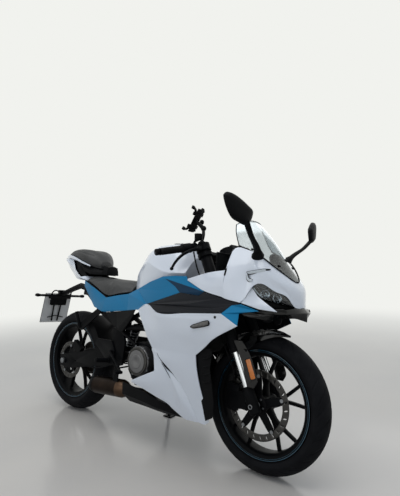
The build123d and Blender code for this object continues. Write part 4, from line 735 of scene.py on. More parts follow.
# ---- painted body
FUEL_TANK = [(560, (0, 800), (40, 797), (62, 785), (62, 772)), (574, (0, 868), (45, 860), (80, 820),
        (84, 752)), (646, (0, 960), (75, 940), (108, 884), (118, 742)), (700, (0, 992), (90, 968),
        (130, 896), (128, 738)), (780, (0, 1000), (105, 974), (152, 870), (136, 745)),
        (862, (0, 998), (108, 968), (158, 845), (136, 768)), (925, (0, 982), (100, 950), (154, 842),
        (128, 790)), (968, (0, 934), (60, 913), (130, 842), (110, 808))]
RIDER_SEAT = [(168, (0, 826), (72, 822), (108, 808), (124, 798), (104, 791.5)),
        (230, (0, 814), (80, 812), (124, 794), (134, 778), (110, 768.5)), (286, (0, 808), (84, 806),
        (130, 784), (140, 757), (112, 746.5)), (400, (0, 802), (86, 799), (134, 768), (146, 714),
        (112, 702)), (504, (0, 796), (66, 792), (106, 770), (138, 730), (110, 719)),
        (556, (0, 788), (46, 784), (78, 768), (100, 742), (84, 732))]
PASSENGER_SEAT = [(-124, (0, 972), (52, 968), (66, 958), (50, 950)), (-40, (0, 990), (72, 985), (98, 962),
        (80, 938)), (60, (0, 988), (84, 982), (114, 944), (94, 914)), (120, (0, 978), (80, 968), (106, 916),
        (88, 890)), (160, (0, 956), (62, 943), (82, 896), (70, 874)), (190, (0, 915), (36, 905), (46, 882),
        (38, 866))]
TAIL_COWL = [(-178, (0, 944), (40, 941), (52, 934), (30, 926)), (-124, (0, 949), (56, 945), (76, 916),
        (58, 886)), (-40, (0, 937), (70, 932), (92, 884), (78, 838)), (20, (0, 905), (88, 900), (108, 860),
        (92, 806)), (90, (0, 850), (96, 846), (118, 815), (104, 797)), (156, (0, 800), (110, 799),
        (124, 796), (112, 793))]


def ring_table(table):
    """Stations across the bike as closed rings: right half down to its lower edge, then the left."""
    rings = []
    for x, *half in table:
        right = [(x, -w, z) for w, z in half]
        rings.append(right + [(x, w, z) for w, z in reversed(half) if w > 0])
    return np.array(rings, float)


def lofted(table, along=7, across=5, sharp_across=(), shrink=0.0):
    """A closed body through rings: a smooth line along the bike through each point of the rings,
    then a smooth closed line round each ring."""
    rings = ring_table(table)
    middle = rings.mean(1, keepdims=True)
    if shrink:
        away = rings - middle
        rings = middle + away * (1 - shrink / np.maximum(np.linalg.norm(away, axis=2, keepdims=True), 1))
    rows = curve(rings, along)
    count = rings.shape[1]
    looped = np.concatenate([rows[:, -2:], rows, rows[:, :3]], 1)
    shifted = tuple(k + 2 for k in sharp_across) + ((count + 2,) if 0 in sharp_across else ())
    fine = np.swapaxes(curve(np.swapaxes(looped, 0, 1), across, shifted), 0, 1)
    fine = fine[:, 2 * across:(2 + count) * across]
    return outward(weave(poles(fine), loop_v=True))


def make_tank():
    """The white tank: crown, crisp shoulder crease and hollow flank."""
    body = lofted(FUEL_TANK, 8, 6, sharp_across=(2, 3, 4, 5))
    piece("tank_shell", [body], WHITE, "fuel_tank", soften=2.0, crease=28)


FAIRING = [
    [(712, -186, 652), (773, -190, 683), (877, -213, 647), (1080, -226, 658), (1270, -233, 669)],
    [(728, -187, 625), (790, -193, 640), (900, -216, 628), (1085, -229, 637), (1354, -231, 625)],
    [(762, -190, 575), (830, -200, 572), (930, -213, 568), (1080, -222, 565), (1230, -224, 560)],
    [(797, -191, 522), (860, -200, 520), (950, -208, 518), (1070, -212, 516), (1172, -212, 515)],
    [(832, -190, 478), (893, -198, 478), (965, -203, 478), (1045, -206, 478), (1122, -205, 478)],
    [(888, -196, 440), (940, -199, 436), (1000, -201, 432), (1060, -202, 430), (1124, -199, 430)],
    [(990, -190, 368), (1025, -191, 364), (1060, -192, 360), (1098, -192, 356), (1140, -190, 350)],
    [(1085, -178, 262), (1105, -178, 262), (1125, -178, 262), (1145, -178, 262), (1168, -176, 262)],
    [(1120, -168, 190), (1133, -168, 188), (1147, -168, 187), (1160, -168, 187), (1186, -172, 203)]]
WING = [[(692, -181, 300), (690, -181, 296), (687, -180, 291)], [(775, -186, 336), (773, -184, 304),
        (770, -176, 272)], [(858, -190, 371), (860, -188, 310), (862, -174, 250)],
        [(846, -189, 440), (905, -192, 350), (943, -172, 231)], [(834, -189.8, 476), (935, -193, 372),
        (966, -171, 219)], [(889, -195.6, 438.5), (955, -193, 368), (990, -170, 208)],
        [(934, -192.6, 396), (984, -190, 330), (1016, -169, 197)], [(989, -189.8, 366), (1014, -188, 290),
        (1044, -168, 186)], [(1084, -177.8, 261.5), (1087, -176, 222), (1090, -167, 186)],
        [(1119, -167.6, 190), (1119.5, -167.6, 188.5), (1120, -167.6, 187)]]


def make_fairings():
    """The large white side panels: a broad upper field that narrows to a long point, and the lower
    wing that branches rearward under the engine, with a slot between the two.  With them come the side
    turn lamps and the slatted liners behind."""
    upper = weave(skin(FAIRING, 10, 9, sharp=(1, 4)))
    wing = weave(skin(WING, 8, 6, sharp=(2,)))
    surfaces = []
    for one in (upper, wing):
        points, quads = one
        normal = np.cross(points[quads[:, 2]] - points[quads[:, 0]], points[quads[:, 3]]
                - points[quads[:, 1]])
        one = one if normal[:, 1].sum() < 0 else (points, quads[:, ::-1])
        surfaces += both(one)
    piece("fairing_panels", surfaces, WHITE, "side_fairings", wall=looks().panel_wall, soften=0.8)
    lamp = curve([(1106, -229, 601), (1128, -231, 605), (1166, -233, 615), (1200, -234, 624),
            (1212, -233, 627)], 4)
    width = np.interp(np.linspace(0, 1, len(lamp)), [0, 0.15, 0.6, 0.9, 1], [3, 9, 13, 12, 6])
    bezel = bar(lamp, width, 4.0, side=(0, 0, 1), power=0.8)
    glass = bar(lamp[2:-1] + (0, -2.2, 0), width[2:-1] - 3.6, 3.4, side=(0, 0, 1), power=0.8)
    piece("side_turn_bezels", both(bezel) + both(*bolt((1240, -231.5, 652), (0, -1, 0), 4, 2)), ABS,
            crease=45)
    piece("side_turn_lenses", both(glass), "smoked_prism_lens", crease=45)
    back = [(1158, -200, 520), (1112, -196, 478), (1112, -190, 430), (1126, -185, 350), (1154, -179, 262),
            (1170, -176, 206), (1208, -176, 226), (1214, -180, 290), (1204, -186, 366), (1194, -190, 430),
            (1206, -194, 506)]
    liner = facets(back)
    slats = []
    for z in range(262, 470, 34):
        y = float(np.interp(z, [203, 262, 350, 430, 478], [-167, -171, -185, -193, -198]))
        slats.append(bar([(1160, y, z), (1196, y + 2, z + 12)], 4, 3.5, side=(0, 0, 1)))
    piece("fairing_liners", both(liner, *slats), ABS, soften=0.6)


def make_castings():
    """Every CAD node that keeps its own shape gets its finish, and softened edges."""
    slots = {part["node"]: part["material_slot"] for part in frame["record"]["subparts"]}
    for finish, nodes in NODE_FINISH:
        for node in nodes.split():
            softened(node, finish, slots[node])


# ---- angular panels
CHEEK_LOW = (1157, -210.5, 757)
FOUR_WAY = (773, -190, 683)
TANK_REAR = (664, -152, 757)
LAMP_LOW = (1356, -214, 712)
WEDGE_TOP = (1312, -217, 706)
FAIRING_FRONT = (1270, -233, 669)
FAIRING_TIP = (1354, -231, 625)
CREASE_LOW = (877, -213, 647)
# corners of the tank's lower wedge, whose darker blue is painted shade
SHADED_FACET_LOW, SHADED_FACET_STEP, SHADED_FACET_BACK, APEX = (1003, -199, 748), (1124, -207, 738), (962, -191, 776), (889, -184,
        812)


def facets(*faces):
    """A faceted sheet seen from the right: each face is a run of corners, cut into triangles in side
    view, and turned to face right (towards -Y)."""
    corners, triangles, start = [], [], 0
    for face in faces:
        points = np.array(face, float)
        cut = np.array(tessellate_polygon([[Vector((p[0], p[2], 0)) for p in points]]))
        a, b, c = (points[cut[:, k]] for k in range(3))
        wrong = np.cross(b - a, c - a)[:, 1] > 0
        cut[wrong] = cut[wrong][:, [0, 2, 1]]
        corners.append(points)
        triangles.append(cut[:, [0, 1, 2, 2]] + start)
        start += len(points)
    return np.concatenate(corners), np.concatenate(triangles)


def drawn_in(points, distance):
    """A side-view run of corners moved inwards by a distance, each along its own bisector."""
    p = np.array(points, float)
    flat = p[:, [0, 2]]
    before, after = flat - np.roll(flat, 1, 0), np.roll(flat, -1, 0) - flat
    area = np.cross(flat, np.roll(flat, -1, 0)).sum()
    sign = 1.0 if area > 0 else -1.0
    turn = lambda v: sign * np.stack([-v[:, 1], v[:, 0]], 1) / np.linalg.norm(v, axis=1)[:, None]
    n0, n1 = turn(before), turn(after)
    both_ways = n0 + n1
    step = both_ways / np.maximum((both_ways * n0).sum(1), 0.35)[:, None] * distance
    p[:, [0, 2]] += step
    return p


def make_tank_panels():
    """Blue tank flanks: a light upper band, under it a wedge in painted shade, and the broad rear facet."""
    band = [(868, -180, 822), (950, -184, 826), (1030, -186, 825), (1041, -191, 804), CHEEK_LOW, APEX]
    shaded_facet = [APEX, CHEEK_LOW, SHADED_FACET_STEP, SHADED_FACET_LOW, SHADED_FACET_BACK]
    rear = [TANK_REAR, (770, -168, 796), (868, -180, 822), APEX, SHADED_FACET_BACK, SHADED_FACET_LOW, FOUR_WAY]
    parts = [(s, 0) for one in (band, rear) for s in both(facets(one))]
    # the wedge takes the darker copy of the blue, as painted shade
    parts += [(s, 1) for s in both(facets(shaded_facet))]
    piece("tank_flanks", parts, ["blue_metallic_lacquer", "deep_blue_metallic_lacquer"], "tank_panels",
            wall=looks().panel_wall, soften=1.6, crease=8)


def make_middle_panels():
    """Dark grey weave-printed panels between the blue and the white, with a pressed crease."""
    outline = drawn_in([FOUR_WAY, SHADED_FACET_LOW, SHADED_FACET_STEP, CHEEK_LOW, (1258, -213.5, 733), LAMP_LOW, WEDGE_TOP,
            FAIRING_FRONT, CREASE_LOW], 1.0)
    f = [tuple(p) for p in outline]
    fold = [(905, -208.5, 690), (1075, -215, 700), (1236, -220, 690)]
    upper = facets([f[0], f[1], f[2], f[3], f[4], f[5], f[6], fold[2], fold[1], fold[0]])
    lower = facets([f[0], fold[0], fold[1], fold[2], f[6], f[7], f[8]])
    piece("middle_panels_skin", both(upper, lower), "grey_printed_weave_film", "middle_panels",
            wall=looks().panel_wall, soften=1.2, crease=6)


def make_wedges():
    """Bright blue wedges behind the beak."""
    face = drawn_in([FAIRING_FRONT, WEDGE_TOP, LAMP_LOW, (1427, -188, 688), (1344, -206, 674), FAIRING_TIP],
            0.6)
    piece("front_wedges_skin", both(facets([tuple(p) for p in face])), "blue_metallic_lacquer",
            "front_wedges", wall=looks().panel_wall, soften=1.2, crease=12)


def make_tail_panels():
    """Blue tail sides: a narrow band up to the tail and, ahead of a crease, the wider facet that
    runs under the seat to the tank."""
    low, kink = (372, -154, 622), (400, -150.5, 700)
    rear = [(158, -128, 760), (162, -130, 791), (286, -140, 745), kink, low, (286, -142, 643)]
    middle = [kink, (504, -150.5, 717), (600, -158, 728), (596, -158, 640), (504, -153, 630),
            (400, -151, 619), low]
    front = [(600, -158, 728), (663.4, -152, 756.5), (772.4, -190, 682.5), (711.6, -186, 651.6),
            (684, -178, 650), (596, -158, 640)]
    piece("tail_sides", both(facets(rear), facets(middle), facets(front)), "blue_metallic_lacquer",
            "tail_panels", wall=looks().panel_wall, soften=1.4, crease=7)


# ---- nose, lamps, screen
NOSE = [
    ((1041, -188, 814), (1041, -190, 811), (1041, -192, 808), (1041, -192, 806)),
    ((1159, -184, 843), (1158, -196, 818), (1157, -206, 786), (1157, -210, 760)),
    ((1258, -176, 856), (1258, -204, 826), (1258, -213, 780), (1258, -214, 738)),
    ((1272, -150, 951), (1264, -180, 880), (1265, -208, 800), (1272, -216, 733)),
    ((1355, -135, 937), (1356, -160, 880), (1356, -176, 817), (1358, -214, 718)),
    ((1384, -122, 916), (1400, -150, 862), (1402, -158, 838), (1404, -166, 800)),
    ((1418, -105, 888), (1446, -125, 830), (1458, -118, 785), (1462, -120, 770)),
    ((1452, -78, 857), (1483, -92, 800), (1490, -82, 768), (1494, -84, 752)),
    ((1481, -45, 829), (1506, -55, 788), (1514, -48, 718), (1515, -46, 708)),
    ((1497, 0, 811), (1521, 0, 770), (1528, 0, 720), (1528, 0, 708))]
SCREEN = [((1496, 812), (1452, 79, 858), (1384, 123, 917), (1288, 144, 962)), ((1440, 892), (1398, 76, 925),
        (1338, 116, 962), (1270, 134, 992)), ((1368, 992), (1340, 66, 1008), (1300, 100, 1022),
        (1256, 126, 1030)), ((1275, 1092), (1268, 52, 1088), (1258, 86, 1078), (1246, 112, 1062))]
BEAK = [((1348, -186, 690), (1372, -181, 678), (1340, -170, 664)), ((1424, -170, 688), (1444, -156, 676),
        (1428, -140, 652)), ((1486, -124, 694), (1506, -104, 680), (1476, -98, 660)),
        ((1516, -66, 704), (1537, -48, 686), (1520, -50, 664)), ((1528, 0, 707.3), (1545, 0, 688),
        (1545, 0, 650))]


def across_bike(rows):
    """Right-hand rows from the rear, carried on round the front to the left side."""
    right = np.array(rows, float)
    return np.concatenate([right, right[-2::-1] * (1, -1, 1)])


def facing(surface, origin):
    """An open sheet turned so that its faces look away from a point."""
    points, quads = surface
    a, b, c, d = (points[quads[:, k]] for k in range(4))
    away = np.einsum("ij,ij->i", np.cross(c - a, d - b), (a + b + c + d) / 4 - np.asarray(origin, float))
    return (points, quads) if away.sum() > 0 else (points, quads[:, ::-1])


def make_nose():
    """The white nose: cheeks swept back beside the tank, brow over the lamps, and the blade that
    runs forward under each lamp to a point."""
    rows = across_bike(NOSE)
    count = len(NOSE)
    sharp = (2, 4, 2 * count - 6, 2 * count - 4)
    shell = facing(weave(skin(rows, 6, 7, sharp=sharp, sharp_across=(2,))), (1150, 0, 780))
    blade = facets([(1356, -176, 817), (1374, -173, 790), (1406, -166, 747), (1444, -156, 719),
            (1486, -146, 690), (1424, -186, 698), (1358, -214, 718)])
    piece("nose_shell", [shell] + both(blade), WHITE, "nose_cowl", wall=looks().panel_wall, soften=0.8,
            crease=30)


def make_screen():
    """The clear screen: a sheet curved both ways, with a rolled edge and a black foot band."""
    table = []
    for (x, z), *rest in SCREEN:
        right = [(px, -py, pz + 1.5) for px, py, pz in reversed(rest)]
        table.append(right + [(x, 0, z + 1.5)] + [(px, py, pz + 1.5) for px, py, pz in rest])
    grid = skin(np.array(table, float), 10, 8)
    sheet = facing(weave(grid), (1150, 0, 900))
    piece("screen_sheet", [sheet], "clear_polycarbonate", "windshield", wall=3.0, soften=0.5)
    normal = np.array((0.75, 0, 0.66))
    band = grid[:4] - normal * 3.4
    inner = facing(weave(band), (1150, 0, 900))
    screws = []
    for side in (-1, 1):
        for row, column in ((4, 6), (5, 18)):
            at = grid[row, column] if side < 0 else grid[row, -1 - column]
            screws += bolt(at + normal * 0.6, normal + np.array((0, side * 0.45, 0)), 4.5, 2.4)
    piece("screen_foot_band", [inner] + screws, ABS, wall=2.0, soften=0.3)
    rim = [tube(line + normal * 0.8, size, 8) for line, size in ((grid[0], 2.6), (grid[-1], 1.2),
            (grid[:, 0], 2.2), (grid[:, -1], 2.2))]
    piece("screen_edge", rim, ABS)


LAMP_TOP = [(1359, -172, 812), (1402, -156, 835), (1457, -116, 782), (1489, -80, 764), (1509, -50, 722)]
LAMP_FOOT = [(1360, -172, 806), (1384, -167, 772), (1408, -159, 744), (1458, -106, 724), (1501, -56, 708)]


def make_headlights():
    """Each lamp: black bowl, two projectors in bright rims, a milky running strip along the brow and
    a clear lens over it all."""
    top, foot = np.array(LAMP_TOP, float), np.array(LAMP_FOOT, float)
    away = np.array((0.72, -0.66, 0.1))
    rows = np.stack([top, top * 0.62 + foot * 0.38 + away * 5, top * 0.3 + foot * 0.7 + away * 5, foot])
    lens = np.swapaxes(skin(np.swapaxes(rows, 0, 1), 8, 4, sharp=(1,)), 0, 1)
    cover = facing(weave(lens), (1300, 0, 760))
    bowl_grid = lens - away * 15
    bowl = facing(weave(bowl_grid), (1300, 0, 760))
    rim = facing(weave(np.stack([lens[0], bowl_grid[0]])), (1420, -110, 700))
    sill = facing(weave(np.stack([lens[-1], bowl_grid[-1]])), (1420, -110, 860))
    piece("lamp_bowls", both(bowl, rim, sill), "black_polished_abs", "headlights", slot="lamp_lens",
            wall=2.0)
    piece("lamp_lenses", both(cover), "clear_lamp_polycarbonate", wall=1.6)
    out = unit(away)
    eyes, rims, blocks, blades = [], [], [], []
    for at, size in (((1428, -141, 758), 15.0), ((1464, -105, 744), 14.0)):
        seat = np.array(at, float) - out * 12
        rims.append(turned([(-3, size + 5), (5, size + 5), (7.5, size + 2.6), (6, size + 0.6),
                (-3, size + 0.6)], seat, out, 36))
        angle = np.linspace(0, pi / 2, 9)
        eyes.append(turned(np.stack([2 + size * 0.55 * np.sin(angle[::-1])[::-1], size * np.cos(angle)],
                1)[:-1].tolist(), seat, out, 36))
        blocks.append(tube([seat - out * 8 + np.array((-14, -6, 4)), seat - out * 2
                + np.array((16, 12, -6))], [9, 9], 12))
        for shift in (-9, 3):
            blades.append(bar([seat + out * 6 + (shift - 12, shift * 0.5 + 2, 13),
                    seat + out * 8 + (shift + 8, 4, -11)], 1.6, 3.2, side=out))
    piece("lamp_projector_rims", both(*rims, *blocks), "metallised_reflector")
    piece("lamp_projector_eyes", both(*eyes), "clear_lamp_polycarbonate")
    upper = curve(top, 8, sharp=(1,)) * 0.9 + curve(foot, 8) * 0.1 - out * 5
    strip = tube(upper[: 4 * 8], 2.6, 10)
    hook = tube(curve(foot, 8)[2:18] * 0.86 + curve(top, 8, sharp=(1,))[2:18] * 0.14 - out * 5, 2.4, 10)
    piece("lamp_running_strips", both(strip, hook, *blades), "milky_light_strip")
    baffle = facets([(1366, -166, 800), (1420, -138, 770), (1470, -90, 742), (1508, -46, 712),
            (1500, -44, 688), (1436, -132, 682), (1362, -176, 698)])
    piece("lamp_baffles", both(baffle), ABS, wall=2.0)
    channel = curve([(1434, -119, 862), (1411, -147, 854), (1387, -163, 848), (1356, -176, 841),
            (1365, -180, 816), (1382, -176, 809)], 5, sharp=(1, 3))
    narrow = np.interp(np.linspace(0, 1, len(channel)), [0, 0.15, 1], [1.5, 8, 8.5])
    piece("brow_channels", both(bar(channel, narrow, 2.4, side=(0.3, -0.2, 1))), ABS, crease=45)
    piece("brow_running_strips", both(bar(channel[3:] + (1, -1.6, 0.4), narrow[3:] - 2.6, 2.2,
            side=(0.3, -0.2, 1))), "milky_light_strip", crease=45)


def make_beak():
    """The polished black beak under the lamps, with its lip, two small winglets and the horn behind."""
    rows = np.array(BEAK, float)
    every = tuple(range(9))
    shell = facing(weave(skin(across_bike(rows), 2, 3, sharp=every, sharp_across=(1,))), (1250, 0, 700))
    lip_out = rows[:, 2]
    lip_in = lip_out * (1, 0.78, 1) + (-46, 0, 10)
    lip = facing(weave(skin(across_bike(np.stack([lip_out, lip_in], 1)), 2, 3, sharp=every)),
            (1300, 0, 800))
    winglet = facets([(1338, -192, 672), (1362, -192, 688), (1420, -178, 690), (1500, -118, 700),
            (1512, -102, 690), (1436, -170, 668), (1380, -186, 664)])
    plate = slab([(1400, 690), (1460, 690), (1452, 640), (1434, 628), (1418, 640)], -52, -48)
    rings = [turned([(-3, 8), (3, 8), (3, 5), (-3, 5)], (x, -50, z), (0, 1, 0), 20, closed=True) for x,
            z in ((1434, 641), (1447, 668))]
    horn = [turned([(0, 12), (0, 26), (4, 28), (8, 27), (10, 20), (9, 14), (13, 12), (15, 6)],
            (1392, -64, 666), (0.6, -0.8, 0), 32)]
    piece("horn_and_bracket", [plate] + rings + horn, ENAMEL, slot="black_plastic", soften=0.6)
    piece("beak_shell", [shell, lip] + both(winglet), "black_polished_abs", "beak", wall=3.0, soften=0.7)


def make_mirrors():
    """Mirrors: a leaf-shaped shell domed forwards, silvered glass behind, on a flattened stalk that
    swells into its foot on the nose."""
    centre = np.array((1398.0, -318.0, 1082.0))
    ahead = unit(np.array((0.93, -0.25, 0.05)))
    wide = np.array((-0.20, -0.90, 0.38))
    wide = unit(wide - ahead * (wide @ ahead))
    high = np.cross(ahead, wide)
    high *= np.sign(high[2])
    leaf = [(93, 12), (86, 29), (60, 38), (16, 39), (-26, 34), (-58, 26), (-64, 12), (-59, -34), (-47, -44),
            (-12, -49), (22, -50), (56, -30), (84, -2), (93, 12)]
    leaf = curve(leaf, 4, sharp=(0, 13))[:-1] - (4, 0)
    outline = leaf[:, :1] * wide + leaf[:, 1:] * high
    depth = [(0.96, 0), (1.0, 2), (1.0, 7), (0.93, 16), (0.75, 22), (0.45, 25), (0.18, 26)]
    shell = np.stack([centre + outline * share + ahead * d for share, d in depth])
    grid = np.concatenate([(centre + outline * 0.94 + ahead * 2.0)[None], shell])
    body = outward(weave(poles(grid), loop_v=True), centre + ahead * 10)
    glass = outward(weave(poles(np.stack([centre + outline * 0.93 - ahead * 0.2,
            centre + outline * 0.93 + ahead * 2.4])), loop_v=True), centre)
    seat = np.array((1378.0, -130.0, 918.0))
    inner_end = centre + ahead * 12 - wide * 44 - high * 28
    line = curve([seat, seat + (10, -26, 26), seat * 0.42 + inner_end * 0.58 + (4, -10, 2), inner_end], 8)
    thick = np.interp(np.linspace(0, 1, len(line)), [0, 0.2, 0.6, 1], [24, 17, 12, 13])
    stalk = tube(line, thick, 20, flat=0.62)
    foot = tube([seat - (8, -6, 14), seat + (0, -2, 4), seat + (6, -14, 16)], [26, 27, 18], 24, flat=0.7)
    piece("mirror_shells", both(body, stalk, foot), ABS, "mirrors", slot="black_gloss", crease=50)
    piece("mirror_glasses", both(glass), "silvered_glass")


# ---- tail
def parted(surface, outline):
    """A surface's faces outside an (x, z) outline, and those inside it: a face is inside when a ray
    along +x from its middle crosses the outline an odd number of times."""
    points, quads = surface
    x, z = (points[quads].mean(1)[:, k, None] for k in (0, 2))
    x0, z0 = outline.T
    x1, z1 = np.roll(outline, -1, 0).T
    crosses = ((z0 > z) != (z1 > z)) & (x < x0 + (x1 - x0) * (z - z0) / np.where(z1 == z0, 1, z1 - z0))
    inside = crosses.sum(1) % 2 == 1
    return (points, quads[~inside]), (points, quads[inside])


def make_tail():
    """The white tail cowl with the dark recess under the passenger's seat, the tail lamp, the plate
    in its frame and the turn lamps."""
    body = lofted(TAIL_COWL, 24, 16, sharp_across=(1, 2, 3, 4))
    opening = np.array([(-62, 925), (-20, 925), (60, 925), (118, 892), (158, 826), (96, 816), (40, 846),
            (-20, 895)], float)
    outer, _ = parted(body, opening)
    _, sunk = parted(body, opening + np.sign(opening - opening.mean(0)) * 5)
    sunk = (sunk[0] * (1, 0.86, 1), sunk[1])
    arms = [bar(curve([(-132, side * 66, 946), (-60, side * 92, 944), (20, side * 110, 929),
            (90, side * 108, 905), (150, side * 92, 884)], 6), (11, 4), 3, side=(0, 0, 1))
            for side in (-1, 1)]
    piece("tail_shell", [outer], WHITE, "tail_cowl", wall=2.5, crease=30)
    piece("tail_arms", arms, WHITE, crease=50)
    piece("tail_recesses", [sunk], ABS, wall=2.0, crease=30)
    lamp = box((13, 76, 20), (-185, 0, 932))
    fins = [box((14, 4, 20), (-186, y, 932)) for y in (-36, -18, 0, 18, 36)]
    piece("tail_lamp", [lamp], "red_prism_lens", "rear_lights", soften=3)
    piece("tail_lamp_bezel", fins, ABS, soften=0.8)
    arm = curve([(150, 0, 716), (60, 0, 736), (-60, 0, 760), (-150, 0, 735), (-270, 0, 698),
            (-312, 0, 690)], 5, sharp=(2,))
    hanger = [bar(arm, (24, 18), (18, 9), power=0.5), bar(arm + (0, 0, 2), (10, 8), (21, 12), power=0.5),
            box((34, 150, 30), (-300, 0, 680)), box((16, 116, 62), (-312, 0, 652), about((0, 1, 0), 13.6)),
            tube([(-290, -142, 686), (-290, 142, 686)], 8, 16), box((22, 60, 26), (-268, 0, 712)),
            tube(curve([(-250, -30, 704), (-262, -58, 722), (-286, -70, 702), (-300, -64, 676)], 5), 4, 10),
            tube(curve([(-250, 30, 704), (-258, 60, 718), (-286, 74, 700), (-300, 60, 672)], 5), 4, 10)]
    for y in (-26, 26):
        hanger.append(bar([(-318, y, 640), (-338, y * 0.9, 560), (-349, y * 0.8, 512)], 5, 4))
        hanger += bolt((-322, y * 2, 650), (0.97, 0, -0.24), 5, 4)
    hanger.append(bar([(-341, -60, 536), (-344, 0, 548), (-341, 60, 536)], 3, 3, side=(1, 0, 0)))
    piece("plate_bracket", hanger, ABS, "plate_hanger", soften=1.4, crease=40)
    lean = degrees(atan2(48, 198))
    turn = about((0, 1, 0), lean)
    plate = box((3.2, 200, 198), (-338.2, 0, 601), turn)
    rim = []
    for y in (-101, 101):
        rim.append(box((3.4, 2.6, 202), (-337.9, y * 0.985, 601), turn))
    for z in (-101.5, 101.5):
        shift = turn @ np.array((0, 0, z))
        rim.append(box((3.4, 200, 2.6), np.array((-337.9, 0, 601)) + shift, turn))
    piece("blank_plate", [plate], "white_painted_plate", "number_plate", soften=0.8)
    piece("plate_frame", rim, ABS, soften=1.0)
    pods, lenses = [], []
    for side in (-1, 1):
        root = np.array((-290.0, side * 142.5, 686.0))
        pods.append(tube([root, root + (0, side * 12, 0), root + (2, side * 30, 1),
                root + (2, side * 40, 1)], [8, 10.5, 14.5, 12], 20, flat=0.8))
        lenses.append(tube([root + (-12, side * 14, 0.5), root + (-13.5, side * 26, 0.5),
                root + (-13, side * 38, 0.5)], [5, 8, 6], 16, flat=1.2))
    piece("rear_turn_pods", pods, ABS, crease=50)
    piece("rear_turn_lenses", lenses, "smoked_prism_lens", crease=50)


# ---- wheels
def bar(path, half_y, half_t, side=(0, 1, 0), power=0.55):
    """A cast bar along a line of points.  Its section is a superellipse, a rounded rectangle, one of
    whose axes stays along the given side direction."""
    path = np.asarray(path, float)
    way = unit(np.gradient(path, axis=0))
    side = np.asarray(side, float)
    first = unit(side - way * (way @ side)[:, None])
    second = np.cross(way, first)
    angle = round_angles(20)
    c = np.sign(np.cos(angle)) * np.abs(np.cos(angle)) ** power
    s = np.sign(np.sin(angle)) * np.abs(np.sin(angle)) ** power
    a, b = spread(half_y, len(path)), spread(half_t, len(path))
    rings = path[:, None] + a * c[None, :, None] * first[:, None] + b * s[None, :, None] * second[:, None]
    return outward(weave(poles(rings), loop_v=True))


def on_wheel(axle, radius, degrees, y=0.0):
    """A point at a radius and an angle from ahead, round an axle."""
    a = radians(degrees)
    return np.array((axle[0] + radius * cos(a), y, axle[2] + radius * sin(a)))


def cast_wheel(name, axle, half, hub_half, node, body):
    """A cast wheel: a rim with its well and flanges, a hub, and five spokes that fork like a Y."""
    rim = [(-half, 227.6), (-half + 3, 228), (-half + 5, 221), (-half + 12, 214), (-22, 206), (22, 206),
            (half - 12, 214), (half - 5, 221), (half - 3, 228), (half, 227.6), (half, 215), (half - 4, 208),
            (half - 12, 200), (20, 197), (-20, 197), (-half + 12, 200), (-half + 4, 208), (-half, 215)]
    parts = [turned(rim, axle, (0, 1, 0), 120, closed=True)]
    hub = [(-hub_half, 18), (-hub_half, 30), (-hub_half + 4, 34), (-hub_half + 18, 36), (-24, 33), (24, 33),
            (hub_half - 18, 36), (hub_half - 4, 34), (hub_half, 30), (hub_half, 18), (0, 17)]
    parts.append(turned(hub, axle, (0, 1, 0), 60, closed=True))
    for k in range(5):
        middle = 90 + 72 * k
        stem = [on_wheel(axle, r, middle) for r in (26, 45, 70, 96)]
        parts.append(bar(stem, [17, 15, 13, 11], [17, 14, 12.5, 11]))
        for way in (-1, 1):
            arm = curve([on_wheel(axle, 74, middle + way * 2.5), on_wheel(axle, 108, middle + way * 6.5),
                    on_wheel(axle, 202, middle + way * 14)], 6)
            parts.append(bar(arm, (12, 10), (8.6, 6.4)))
    parts += bolt(on_wheel(axle, 213, 98, -16), (-0.25, -0.5, -0.9), 3.4, 22)
    piece(name, parts, ENAMEL, node, body=body, crease=32)
    tapes = []
    for side in (-1, 1):
        y = side * (half + 0.15)
        for low, high in ((223.6, 225.3), (218.0, 218.8)):
            tapes.append(turned([(y - side * 0.6, low), (y, low), (y, high), (y - side * 0.6, high)], axle,
                    (0, 1, 0), 120, closed=True))
    piece(name + "_tape", tapes, "rim_tape_vinyl", body=body)


def tread_tyre(name, axle, radius, half, crown, rim_half, pitches, node, body):
    """A sport tyre.  Its section runs from bead to bead over a circular crown; grooves are sunk where
    a slanting wave of position round the tyre meets distance from its middle."""
    limit = asin(half / crown)
    share = np.linspace(-1, 1, 57)
    theta = share * limit
    tread = np.stack([crown * np.sin(theta), radius - crown + crown * np.cos(theta)], 1)
    edge_r = tread[0, 1]
    wall = np.array([(rim_half - 7, 219), (rim_half - 5.6, 224), (rim_half - 5, 229), (rim_half + 1, 232.5),
            (rim_half + 2.5, 233), (rim_half + 4.5, 236), (half - 1.2, edge_r - 7)])
    section = np.concatenate([wall * (-1, 1), tread, wall[::-1], [(0, 218.6)]])
    out = np.zeros((len(section), 2))
    first = len(wall)
    out[first:first + 57] = np.stack([np.sin(theta), np.cos(theta)], 1)
    across = np.full(len(section), 2.0)
    across[first:first + 57] = share
    angle = round_angles(660)[:, None]
    turn = pitches * angle / (2 * pi)
    reach = np.abs(across)[None]

    def groove(shift, slant, near, far, width):
        phase = (turn + shift + slant * reach ** 1.3 + 0.5 * (across[None] < 0)) % 1.0 - 0.5
        wide = np.clip(1 - np.abs(phase) / width, 0, 1) ** 0.5
        ends = np.clip((reach - near) / 0.06, 0, 1) * np.clip((far - reach) / 0.06, 0, 1)
        return wide * ends

    sunk = np.maximum(groove(0.0, 0.75, 0.10, 0.82, 0.045), groove(0.5, 0.55, 0.42, 0.93, 0.04))
    seam = 0.25 * (np.abs(across[None]) < 0.02)
    sunk = sunk * looks().groove + seam
    y = section[None, :, 0] - sunk * out[None, :, 0]
    r = section[None, :, 1] - sunk * out[None, :, 1]
    grid = np.stack([axle[0] + r * np.cos(angle), y + 0 * angle, axle[2] + r * np.sin(angle)], -1)
    piece(name, [outward(weave(grid, True, True))], "cured_tyre_rubber", node, body=body, crease=50)


